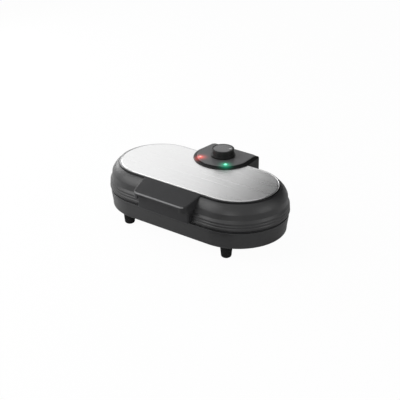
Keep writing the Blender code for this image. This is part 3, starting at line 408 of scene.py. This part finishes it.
def rings(name, loops, paint, around=True, caps=(False, False), angle=32):
    """Quads between loops of points. around joins the last loop to the first."""
    bm = bmesh.new()
    made = [[bm.verts.new(point) for point in loop] for loop in loops]
    pairs = list(zip(made, made[1:]))
    if around:
        pairs.append((made[-1], made[0]))
    size = len(made[0])
    for low, high in pairs:
        for number in range(size):
            after = (number + 1) % size
            corners = (low[number], low[after], high[after], high[number])
            bm.faces.new(corners)
    for cap, loop in zip(caps, (made[0], made[-1])):
        if cap:
            bm.faces.new(loop)
    return finish_mesh(name, bm, paint, angle)


def stadium_loop(radius, height, steps=STEPS):
    """A loop of points at one radius round the body's stadium."""
    points = []
    for end in (1, -1):
        for step in range(steps + 1):
            angle = math.pi * (step / steps - 0.5) + (0 if end > 0 else math.pi)
            points.append((end * HALF_STRAIGHT + radius * math.cos(angle), radius * math.sin(angle), height))
    return points


def swept(name, profile, paint, around=False, caps=(False, False), angle=32):
    """A profile swept round the body's stadium."""
    loops = [stadium_loop(radius, height) for radius, height in profile]
    return rings(name, loops, paint, around, caps, angle)


def turned(name, profile, spot, paint, lie=None, steps=ROUND, around=False, caps=(True, True), angle=32):
    """A profile turned round an axis."""
    lie = lie or Matrix()
    loops = []
    for radius, height in profile:
        turns = (2 * math.pi * step / steps for step in range(steps))
        points = (Vector((radius * math.cos(turn), radius * math.sin(turn), height)) for turn in turns)
        loops.append([Vector(spot) + lie.to_3x3() @ point for point in points])
    return rings(name, loops, paint, around, caps, angle)


def applied(thing, angle=32):
    """The object with its modifiers applied."""
    bpy.context.view_layer.update()
    graph = bpy.context.evaluated_depsgraph_get()
    mesh = bpy.data.meshes.new_from_object(thing.evaluated_get(graph))
    old = thing.data
    thing.modifiers.clear()
    thing.data = mesh
    bpy.data.meshes.remove(old)
    shade(mesh, angle)
    return thing


def cut(thing, *others, operation="DIFFERENCE", angle=32):
    """Cuts or joins the others, which are used up."""
    for other in others:
        modifier = thing.modifiers.new("Cut", "BOOLEAN")
        modifier.operation = operation
        modifier.solver = "EXACT"
        modifier.object = other
    applied(thing, angle)
    for other in others:
        bpy.data.objects.remove(other, do_unlink=True)
    return thing


def rod(radius, start, end, steps=SMALL):
    """A cylinder used for cutting."""
    start, end = Vector(start), Vector(end)
    along = end - start
    lie = along.to_track_quat("Z", "Y").to_matrix().to_4x4() @ Matrix.Rotation(math.pi / steps, 4, "Z")
    return turned("rod", [(radius, 0), (radius, along.length)], start, casing, lie, steps)


def box(low, high, paint=None, name="box"):
    """A plain box between two corners."""
    (x0, y0, z0), (x1, y1, z1) = low, high
    loops = [[(x0, y0, z), (x1, y0, z), (x1, y1, z), (x0, y1, z)] for z in (z0, z1)]
    return rings(name, loops, paint or casing, False, (True, True))


def softened(thing, width, segments=3, limit=30):
    """The object with its sharp edges rounded."""
    modifier = thing.modifiers.new("Bevel", "BEVEL")
    modifier.width = width
    modifier.segments = segments
    modifier.limit_method = "ANGLE"
    modifier.angle_limit = math.radians(limit)
    return applied(thing)


def put(thing, body, slot, *replaced):
    """Ties a piece to its body, in place of the CAD nodes named; slot is not used."""
    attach(thing, body)
    if replaced:
        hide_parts(*replaced)
    return thing


# Lid casing.
def lid_outer():
    """The lid's outer side, from its top ledge down over the ribs to its edge."""
    shoulder = [(LEDGE_RADIUS - 0.0008, LID_TOP, 0.0006), (LEDGE_RADIUS + 0.0002, LID_TOP - 0.0002, 0.0004)]
    curve = ((0.12, 0.055), (0.3, 0.17), (0.47, 0.30), (0.62, 0.45), (0.76, 0.61), (0.87, 0.77), (0.95, 0.9))
    shoulder += [(LEDGE_RADIUS + 0.0128 * out, LID_TOP - 0.017 * down, 0.02) for out, down in curve]
    shoulder += [(SHOULDER_RADIUS, SHOULDER_LEVEL, 0.02), (WAIST_RADIUS, WAIST_LEVEL, 0.0025),
                 (FLARE_RADIUS, FLARE_LEVEL, 0.0014)]
    for rib in range(RIBS, 0, -1):
        level = LID_EDGE + rib * RIB_PITCH
        radius = SKIRT_RADIUS - (SKIRT_RADIUS - FLARE_RADIUS) * rib * RIB_PITCH / (FLARE_LEVEL - LID_EDGE)
        shoulder += [(radius, level + 0.0012, 0.0008), (radius - 0.0011, level + 0.0006, 0.0003),
                     (radius - 0.0011, level + 0.0001, 0.0003), (radius, level - 0.0014, 0.0010)]
    return shoulder + [(SKIRT_RADIUS, LID_EDGE, 0.0009)]


def make_lid():
    """The lid's casing, with its holes."""
    inner = [(0.0958, LID_EDGE, 0.0), (0.0958, 0.0809, 0.001), (0.0937, 0.0855, 0.002),
             (0.0929, SHOULDER_LEVEL, 0.006), (0.0912, 0.1018, 0.004),
             (0.0850, 0.1100, 0.006), (0.0815, LID_TOP - WALL, 0.003)]
    profile = rounded([(0.0, LID_TOP, 0), *lid_outer(), *inner, (0.0, LID_TOP - WALL, 0)])[1:-1]
    shell = swept("lid_casing", profile, casing, around=False, caps=(True, True))
    holes = [rod(SHAFT_HOLE, (0, KNOB_Y, 0.098), (0, KNOB_Y, 0.12))]
    spots = ((-SCREW_X, -SCREW_Y), (SCREW_X, SCREW_Y))
    holes += [rod(SCREW_HOLE, (x, y, 0.108), (x, y, 0.12)) for x, y in spots]
    holes += [rod(LAMP_HOLE, (x, LAMP_Y, 0.108), (x, LAMP_Y, 0.12)) for x in (-LAMP_X, LAMP_X)]
    sides, level = (-HANDLE_SCREW_X, HANDLE_SCREW_X), HANDLE_SCREW_Z
    holes += [rod(SCREW_HOLE, (x, -0.12, level), (x, -0.09, level)) for x in sides]
    put(cut(shell, *holes), "lid", "black_plastic", "lid_shell")


def make_top_plate():
    """The steel cover with its groove and rolled edge."""
    top = [(0.0758, PLATE_TOP, 0.0004), (0.0766, PLATE_TOP - 0.0007, 0.0003),
           (0.0774, PLATE_TOP - 0.0007, 0.0003), (0.0782, PLATE_TOP - 0.0001, 0.0005),
           (0.0800, PLATE_TOP - 0.0004, 0.0012), (PLATE_RADIUS, PLATE_TOP - 0.0014, 0.0009),
           (PLATE_RADIUS, LID_TOP + GAP, 0)]
    inside = PLATE_RADIUS - 0.0008
    under = [(inside, LID_TOP + GAP, 0), (inside, PLATE_TOP - 0.0022, 0.0006),
             (0.0782, PLATE_TOP - 0.0013, 0)]
    profile = rounded([(0.0, PLATE_TOP, 0), *top, *under, (0.0, PLATE_TOP - 0.0013, 0)])[1:-1]
    plate = swept("steel_plate", profile, steel, caps=(True, True), angle=24)
    hole = prism("console_hole", outline(*PLATE_OPENING), 0.112, 0.124)
    put(cut(plate, hole, angle=24), "lid", "brushed_steel", "top_plate")


# Console.
def outline(middle, radius, half, reach, corner, steps=72, bits=10):
    """A plan with an arc in front, sides that draw in, and rounded corners behind."""
    points = []
    arcs = ((0, middle, radius, 180, 360, steps), (half - corner, reach - corner, corner, 0, 90, bits),
            (corner - half, reach - corner, corner, 90, 180, bits))
    for x, y, size, start, end, count in arcs:
        for step in range(count + 1):
            angle = math.radians(start + (end - start) * step / count)
            points.append((x + size * math.cos(angle), y + size * math.sin(angle)))
    return points


def prism(name, plan, low, high, paint=None):
    """A plan raised between two levels."""
    loops = [[(x, y, z) for x, y in plan] for z in (low, high)]
    return rings(name, loops, paint or casing, False, (True, True))


def between(share):
    """The console's plan between its wall, at 0, and its cap's edge, at 1."""
    return outline(*(start + (end - start) * share for start, end in zip(CONSOLE_WALL, CONSOLE_EDGE)))


def lid_form(grow=GAP):
    """The lid's outer form, for cutting what seats on it."""
    side = [(radius + grow, level + grow, fillet) for radius, level, fillet in plain_outer()]
    profile = rounded([(0.0, PLATE_TOP + grow, 0), (PLATE_RADIUS + grow, PLATE_TOP + grow, 0),
                       (PLATE_RADIUS + grow, LID_TOP + grow, 0), *side,
                       (SKIRT_RADIUS + grow, LID_EDGE - 0.003, 0), (0.0, LID_EDGE - 0.003, 0)])[1:-1]
    return swept("lid_form", profile, casing, caps=(True, True))


def plain_outer():
    """The lid's outer side without its grooves."""
    points = lid_outer()
    return [point for number, point in enumerate(points) if number < 12 or number == len(points) - 1]


def console_holes():
    """Cutters for the knob's shaft and the two lamps."""
    holes = [rod(SHAFT_HOLE, (0, KNOB_Y, 0.11), (0, KNOB_Y, 0.13))]
    return holes + [rod(LAMP_HOLE, (x, LAMP_Y, 0.11), (x, LAMP_Y, 0.13)) for x in (-LAMP_X, LAMP_X)]


def make_console():
    """The console's cover and its cap."""
    walls = [(0.0, 0.082), (0.0, 0.1190), (0.015, 0.1194), (0.055, 0.1199), (0.12, 0.1203), (0.52, 0.1211),
             (0.84, 0.1218), (0.93, 0.1220), (1.0, 0.1220)]
    loops = [[(x, y, level) for x, y in between(share)] for share, level in walls]
    inner = [(x * 0.965, 0.0846 + (y - 0.0846) * 0.965) for x, y in between(0.0)]
    loops = [[(x, y, 0.082) for x, y in inner], *loops]
    loops.insert(0, [(x, y, 0.1175) for x, y in inner])
    cover = rings("console_cover", loops, console_paint, False, (True, True), angle=28)
    put(cut(cover, lid_form_open(), *console_holes(), angle=28), "lid", "black_plastic", "control_console")
    edge = [(0.0, CONSOLE_LEVEL + GAP), (0.0, CAP_TOP - 0.0006),
            (0.0002, CAP_TOP - 0.0002), (0.0006, CAP_TOP)]
    plan = lambda inset: outline(0.0837, 0.0530 - inset, 0.0508 - inset, 0.1208 - inset, 0.0045 - inset / 2)
    loops = [[(x, y, level) for x, y in plan(inset)] for inset, level in edge]
    cap = rings("console_cap_plate", loops, cap_paint, False, (True, True))
    put(cut(cap, *console_holes()), "lid", "grey_plastic", "console_cap")


def lid_form_open():
    """The lid's form up to the casing's top, under the steel plate."""
    side = [(radius + GAP, level + GAP, fillet) for radius, level, fillet in plain_outer()]
    profile = rounded([(0.0, LID_TOP + GAP, 0), *side, (SKIRT_RADIUS + GAP, LID_EDGE - 0.003, 0),
                       (0.0, LID_EDGE - 0.003, 0)])[1:-1]
    return swept("lid_form_open", profile, casing, caps=(True, True))


# Knob and lamps.
def make_knob():
    """The knob, its disc and the pointer mark."""
    spot = (0, KNOB_Y, 0)
    seat = CAP_TOP + 0.0006
    skirt = seat + 0.0035
    disc = KNOB_TOP - DISC_THICKNESS
    side = [(KNOB_RADIUS, KNOB_TOP, 0.0012)]
    for number in range(KNOB_LINES):
        level = KNOB_TOP - 0.0035 - number * KNOB_LINE_PITCH
        side += [(KNOB_RADIUS, level + 0.00035, 0.00015), (KNOB_RADIUS - 0.0003, level, 0.0002),
                 (KNOB_RADIUS, level - 0.00035, 0.00015)]
    roof = disc - 0.0023
    profile = rounded([(0.0, disc - GAP, 0), (DISC_RADIUS + GAP, disc - GAP, 0),
                       (DISC_RADIUS + GAP, KNOB_TOP - 0.0002, 0.0002), *side, (KNOB_RADIUS, skirt, 0.0008),
                       (KNOB_SKIRT_RADIUS, skirt, 0.0009), (KNOB_SKIRT_RADIUS, seat, 0.0003),
                       (0.0202, seat, 0), (0.0202, roof, 0.001), (0.0051, roof, 0), (0.0051, seat, 0), (0.0033, seat, 0),
                       (0.0033, roof, 0), (0.0, roof, 0)])[1:-1]
    put(turned("knob_body", profile, spot, knob_paint), "knob", "black_plastic", "temperature_knob")
    rim = KNOB_TOP - 0.0001
    top = rounded([(DISC_RADIUS - 0.0016, rim, 0), (DISC_RADIUS - 0.0008, rim, 0.0005),
                   (DISC_RADIUS, KNOB_TOP - 0.0004, 0.0004), (DISC_RADIUS, disc, 0)])
    put(turned("knob_top", top, spot, disc_paint), "knob", "grey_plastic", "knob_disc")
    angle = math.radians(POINTER_TURN)
    across = Vector((math.cos(angle), math.sin(angle), 0))
    along = Vector((-math.sin(angle), math.cos(angle), 0))
    middle = Vector((0, KNOB_Y, 0)) + across * 0.0148
    corners = [(-0.0034, 0.0), (-0.0022, 0.0009), (0.0018, 0.0013), (0.0024, 0.0009), (0.0024, -0.0009),
               (0.0018, -0.0013), (-0.0022, -0.0009)]
    plan = [middle + across * out + along * side for out, side in corners]
    loops = [[(point.x, point.y, level) for point in plan] for level in (KNOB_TOP - 0.0003, KNOB_TOP)]
    put(rings("pointer_mark", loops, mark, False, (True, True)), "knob", "grey_plastic")


def make_lamps():
    """The two domed lenses."""
    rim = CAP_TOP + GAP
    for x, name, paint, slot in ((-LAMP_X, "power", red, "red_lens"), (LAMP_X, "ready", green, "green_lens")):
        dome = [(0.0002, rim + 0.0012)]
        turns = [math.radians(turn) for turn in range(8, 91, 8)]
        dome += [(LENS_RADIUS * math.sin(turn), rim + 0.0012 * math.cos(turn)) for turn in turns]
        profile = dome + [(LENS_RADIUS, rim), (0.0029, rim), (0.0029, LID_TOP + GAP)]
        dome = turned(f"{name}_lens", profile, (x, LAMP_Y, 0), paint, steps=SMALL)
        put(dome, "lid", slot, f"{name}_lamp_lens")


# Handle.
def hood_loops(inset, bottom, back, edge, corner, bits=8):
    """Loops of points across the hood, from its back to its front edge and down."""
    thing = box((-1, -1, -1), (1, 1, 1), handle_paint, "hood")
    for vert in thing.data.vertices:
        front = vert.co.y < 0
        half = (HOOD_FRONT_HALF if front else HOOD_BACK_HALF) - inset
        top = (HOOD_FRONT_TOP if front else HOOD_BACK_TOP) - inset
        level = top if vert.co.z > 0 else bottom
        vert.co = (math.copysign(half, vert.co.x), inset - HOOD_REACH if front else -back, level)
    bm = bmesh.new()
    bm.from_mesh(thing.data)
    corners = [line for line in bm.edges
               if all(vert.co.y < -0.11 for vert in line.verts) and line.verts[0].co.x == line.verts[1].co.x]
    bmesh.ops.bevel(bm, geom=corners, offset=corner, segments=bits, profile=0.5, affect="EDGES")
    bm.normal_update()
    if edge:
        above = []
        for line in bm.edges:
            slopes = [face.normal.z for face in line.link_faces]
            if max(slopes) > 0.8 and min(slopes) < 0.5:
                above.append(line)
        bmesh.ops.bevel(bm, geom=above, offset=edge, segments=6, profile=0.5, affect="EDGES")
    bm.to_mesh(thing.data)
    bm.free()
    return thing


def make_handle():
    """The hood with its finger slot, and the panel under it."""
    hood = hood_loops(0.0, PANEL_TOP + GAP, 0.0785, 0.0021, 0.010)
    hollow = hood_loops(0.003, PANEL_TOP - 0.003, 0.0755, 0, 0.005)
    slot = box((-0.049, -0.129, PANEL_TOP - 0.006), (0.049, -PANEL_REACH, HOOD_FRONT_TOP - 0.0044))
    softened(slot, 0.0015)
    cut(hood, hollow, slot, lid_form(), angle=28)
    hood.name = "handle_hood_cover"
    hood.data.materials.clear()
    hood.data.materials.append(handle_paint)
    hood.data.materials.append(lip_highlight_paint)
    # Painted highlight: faces along the front lip take the paler lip material.
    for face in hood.data.polygons:
        spot = face.center
        highlit_lip = spot.y < -0.1225 and spot.z > 0.1012 and face.normal.z < 0.93 and abs(spot.x) < 0.059
        face.material_index = 1 if highlit_lip else 0
    put(hood, "lid", "black_plastic", "handle_hood")
    low, high = (-PANEL_HALF, -PANEL_REACH, PANEL_BOTTOM), (PANEL_HALF, -0.0815, PANEL_TOP)
    panel = box(low, high, handle_paint, "panel_cover")
    softened(panel, 0.0028, 5)
    inner = box((WALL - PANEL_HALF, WALL - PANEL_REACH, PANEL_BOTTOM + WALL),
                (PANEL_HALF - WALL, -0.08, PANEL_TOP - WALL))
    cut(panel, inner)
    sides, level = (-HANDLE_SCREW_X, HANDLE_SCREW_X), HANDLE_SCREW_Z
    bosses = [rod(BOSS_RADIUS, (x, 0.0012 - PANEL_REACH, level), (x, -0.0815, level)) for x in sides]
    cut(panel, *bosses, operation="UNION")
    holes = [rod(SCREW_HOLE, (x, 0.0022 - PANEL_REACH, level), (x, -0.08, level)) for x in sides]
    cut(panel, lid_form_open(), *holes)
    put(panel, "lid", "black_plastic", "handle_panel")


# Base.
def make_base():
    """The base's casing with the gland's bore."""
    outer = [(0.078, 0.0302, 0), (0.0858, 0.0302, 0.0004), (0.0858, BASE_BOTTOM, 0.0008),
             (BASE_FOOT_RADIUS, BASE_BOTTOM, BASE_ROUND), (BASE_FOOT_RADIUS, 0.035, 0.01),
             (BASE_RADIUS, BASE_EDGE - BASE_ROUND, 0.02), (BASE_RADIUS, BASE_EDGE, 0.0006)]
    inner = [(BASE_RADIUS - WALL, BASE_EDGE, 0.0003), (BASE_RADIUS - WALL, BASE_EDGE - BASE_ROUND, 0.02),
             (BASE_FOOT_RADIUS - WALL, 0.036, 0.01), (BASE_FOOT_RADIUS - WALL, 0.0330, 0.002),
             (0.078, 0.0327, 0)]
    shell = swept("base_casing", rounded(outer + inner), casing, around=True)
    bore = rod(GLAND_BORE, (GLAND_X, 0.092, GLAND_Z), (GLAND_X, 0.104, GLAND_Z))
    put(cut(shell, bore), "base", "black_plastic", "base_shell")


def make_feet():
    """The four feet and their pads."""
    for side, x in (("left", -FOOT_X), ("right", FOOT_X)):
        for end, y in (("front", -FOOT_Y), ("back", FOOT_Y)):
            profile = rounded([(0.0, 0.0281, 0), (0.0125, 0.0281, 0.0006), (0.0099, 0.0030, 0.004),
                               (0.0088, 0.0014, 0.0010), (0.0073, 0.0014, 0.0003),
                               (0.0073, 0.0047, 0), (0.0, 0.0047, 0)])[1:-1]
            cup = turned(f"foot_{end}_{side}_cup", profile, (x, y, 0), foot_paint, steps=64)
            put(cup, "base", "black_plastic", f"foot_{end}_{side}")
            profile = rounded([(0.0, 0.0044, 0), (0.0070, 0.0044, 0), (0.0070, 0.0, 0.0007),
                               (0.0045, 0.0, 0.0003), (0.0040, 0.0004, 0.0003), (0.0, 0.0004, 0)])[1:-1]
            pad = turned(f"pad_{end}_{side}", profile, (x, y, 0), rubber, steps=64)
            put(pad, "base", "rubber", f"foot_pad_{end}_{side}")


# Cooking plates.
def make_cooking_plate(side, name, body):
    """side is -1 for the lower plate and 1 for the upper one."""
    level = PARTING + side * GAP
    up = lambda depth: level + side * depth
    flange = rounded([(0.0, up(0), 0), (FLANGE_RADIUS, up(0), 0.0006),
                      (FLANGE_RADIUS, up(FLANGE_THICKNESS), 0.0004), (0.0, up(FLANGE_THICKNESS), 0)])[1:-1]
    plate = swept(name, flange, coating, caps=(True, True))
    cups, moulds = [], []
    for x in (-MOULD_X, MOULD_X):
        cup = rounded([(0.0, up(0.001), 0), (CUP_RADIUS, up(0.001), 0), (CUP_RADIUS, up(CUP_DEPTH), 0.002),
                       (0.0, up(CUP_DEPTH), 0)])[1:-1]
        cups.append(turned("cup", cup, (x, 0, 0), coating))
        hollow = rounded([(0.0, up(-0.001), 0), (MOULD_RADIUS + 0.0012, up(-0.001), 0),
                          (MOULD_RADIUS + 0.0008, up(0.0), 0.0009),
                          (MOULD_RADIUS - MOULD_DRAFT, up(MOULD_DEPTH), 0.0035),
                          (0.0, up(MOULD_DEPTH), 0)])[1:-1]
        moulds.append(turned("mould", hollow, (x, 0, 0), coating))
    lug_end = up(CUP_DEPTH) + side * (2 * GAP + 0.0065 - GAP)
    spots = [(x, y) for x in (-SCREW_X, SCREW_X) for y in (-SCREW_Y, SCREW_Y)]
    lugs = [rod(LUG_RADIUS, (x, y, up(0.001)), (x, y, lug_end)) for x, y in spots]
    cut(plate, *cups, *lugs, operation="UNION")
    ends = (lug_end - side * 0.0113, lug_end + side * 0.003)
    holes = [rod(SCREW_HOLE, (x, y, ends[0]), (x, y, ends[1])) for x, y in spots]
    cut(plate, *moulds, *holes, angle=24)
    plate.data.materials.clear()
    plate.data.materials.append(coating)
    for face in plate.data.polygons:
        face.material_index = 0
    word = "lower" if side < 0 else "upper"
    put(plate, body, "non_stick_coating", f"{word}_cooking_plate")


def make_gland():
    """The rubber sleeve where a cord would enter."""
    outside = BASE_RADIUS + GAP
    end = outside + 0.0103
    nose = [(0.0034, end, 0.0004), (0.0052, end, 0.0008)]
    ribs = []
    for number in range(4):
        near = outside + 0.0090 - number * 0.0018
        radius = 0.0052 + (outside + 0.0103 - near) * 0.17
        ribs += [(radius, near, 0.0002), (radius - 0.0005, near - 0.0004, 0.0002),
                 (radius + 0.0001, near - 0.0008, 0.0002)]
    profile = [*nose, *ribs, (0.0066, outside + 0.002, 0), (0.0090, outside + 0.002, 0.0006),
               (0.0090, outside, 0), (0.0068, outside, 0), (0.0068, 0.0896, 0), (0.0034, 0.0896, 0.0004)]
    lie = Matrix.Rotation(math.radians(-90), 4, "X")
    sleeve = turned("gland_sleeve", rounded(profile, closed=True), (GLAND_X, 0, GLAND_Z), rubber, lie,
                    steps=SMALL, around=True, caps=(False, False))
    put(sleeve, "base", "rubber", "cord_gland")


def paint_nodes():
    """Materials for the CAD nodes that still show."""
    words = [(word, ceramic) for word in ("bead", "lamp_body", "thermostat_body", "terminal_block")]
    words += [("element", sheath)]
    words += [(word, plain) for word in ("reflector", "screw", "pin", "fuse", "shaft", "cover")]
    words += [("bracket", casing), ("arm", casing)]
    for name, thing in nodes.items():
        for word, paint in words:
            if word in name:
                for slot in thing.material_slots:
                    slot.material = paint
                break


# Room, lights and camera.
def make_room():
    """The floor, the world and the view transform."""
    bpy.context.scene.view_settings.view_transform = "Standard"
    far = FLOOR_REACH
    plan = ((-far, -far), (far, -far), (far, far), (-far, far))
    loops = [[(x, y, z) for x, y in plan] for z in (0, -FLOOR_DEPTH)]
    floor = rings("floor", loops, casing, False, (True, True))
    paint = Paint("floor_paint", roughness=0.8, specular=0.2)
    paint.colour((0.86, 0.86, 0.86))
    seen = paint.node("ShaderNodeEmission")
    blend = paint.node("ShaderNodeMixShader")
    path = paint.node("ShaderNodeLightPath")
    paint.link(paint.maths("MULTIPLY", path.outputs["Is Camera Ray"], 0.965), blend.inputs[0])
    paint.link(paint.shader.outputs[0], blend.inputs[1])
    paint.link(seen.outputs[0], blend.inputs[2])
    out = next(item for item in paint.tree.nodes if item.type == "OUTPUT_MATERIAL")
    paint.link(blend.outputs[0], out.inputs["Surface"])
    floor.data.materials.clear()
    floor.data.materials.append(paint.made)

    world = bpy.data.worlds.new("room")
    bpy.context.scene.world = world
    world.use_nodes = True
    tree = world.node_tree
    back = tree.nodes["Background"]
    white = tree.nodes.new("ShaderNodeBackground")
    white.inputs["Color"].default_value = (1, 1, 1, 1)
    back.inputs["Color"].default_value = (0.42, 0.42, 0.42, 1)
    path = tree.nodes.new("ShaderNodeLightPath")
    most = tree.nodes.new("ShaderNodeMath")
    most.operation = "MAXIMUM"
    tree.links.new(path.outputs["Is Camera Ray"], most.inputs[0])
    tree.links.new(path.outputs["Is Transmission Ray"], most.inputs[1])
    more = tree.nodes.new("ShaderNodeMath")
    more.operation = "MAXIMUM"
    tree.links.new(most.outputs[0], more.inputs[0])
    tree.links.new(path.outputs["Is Glossy Ray"], more.inputs[1])
    blend = tree.nodes.new("ShaderNodeMixShader")
    tree.links.new(more.outputs[0], blend.inputs[0])
    tree.links.new(back.outputs[0], blend.inputs[1])
    tree.links.new(white.outputs[0], blend.inputs[2])
    tree.links.new(blend.outputs[0], tree.nodes["World Output"].inputs["Surface"])


def dark_card(name, loops, level):
    """A black card that only reflections see."""
    black = Paint(f"{name}_black", roughness=1.0, specular=0.0)
    black.colour((level, level, level))
    card = rings(name, loops, black.made, False, (True, True))
    card.visible_camera = False
    card.visible_diffuse = False
    card.visible_shadow = False


def make_cards():
    """One card behind the right end, for the steel, and one on the floor in front, for the casing's walls."""
    edges = ((0.13, 0.006), (1.0, -0.792))
    behind = [[(left, 0.50, z), (0.6, 0.50, z), (0.6, 0.505, z), (left, 0.505, z)] for z, left in edges]
    dark_card("card_behind", behind, 0.05)
    plan = ((0.03, -0.16), (0.20, -0.16), (0.33, -0.46), (-0.04, -0.46))
    dark_card("card_in_front", [[(x, y, z) for x, y in plan] for z in (0.0006, 0.0012)], 0.01)


def area_light(name, spot, aim, size, power):
    """A rectangular light that faces its aim."""
    data = bpy.data.lights.new(name, "AREA")
    data.shape = "RECTANGLE"
    data.size, data.size_y = size
    data.energy = power
    thing = bpy.data.objects.new(name, data)
    thing.location = spot
    thing.rotation_euler = (Vector(aim) - Vector(spot)).to_track_quat("-Z", "Y").to_euler()
    bpy.context.scene.collection.objects.link(thing)
    return thing


def make_camera():
    """The camera fitted to the photograph."""
    azimuth, elevation = math.radians(CAMERA_AZIMUTH), math.radians(CAMERA_ELEVATION)
    level = math.cos(elevation)
    back = Vector((math.sin(azimuth) * level, -math.cos(azimuth) * level, math.sin(elevation)))
    data = bpy.data.cameras.new("camera")
    data.sensor_width = CAMERA_SENSOR
    data.lens = CAMERA_LENS
    thing = bpy.data.objects.new("camera", data)
    thing.location = Vector(CAMERA_TARGET) + back * CAMERA_DISTANCE
    thing.rotation_euler = (-back).to_track_quat("-Z", "Y").to_euler()
    bpy.context.scene.collection.objects.link(thing)
    bpy.context.scene.camera = thing


make_camera()
make_room()
make_cards()
area_light("key", (-0.86, -0.95, 0.90), (0, 0, 0.06), (1.1, 1.1), 15)
area_light("side", (-1.3, 0.3, 0.5), (0, 0, 0.06), (0.8, 0.6), 7)
area_light("strip", (0.7, -1.7, 0.5), (0.1, 0, 0.07), (0.25, 0.8), 5)
area_light("right", (1.5, 0.2, 0.6), (0, 0, 0.06), (0.5, 0.5), 3)
make_lid()
make_top_plate()
make_console()
make_knob()
make_lamps()
make_handle()
make_base()
make_feet()
make_cooking_plate(-1, "lower_moulds", "base")
make_cooking_plate(1, "upper_moulds", "lid")
make_gland()
paint_nodes()
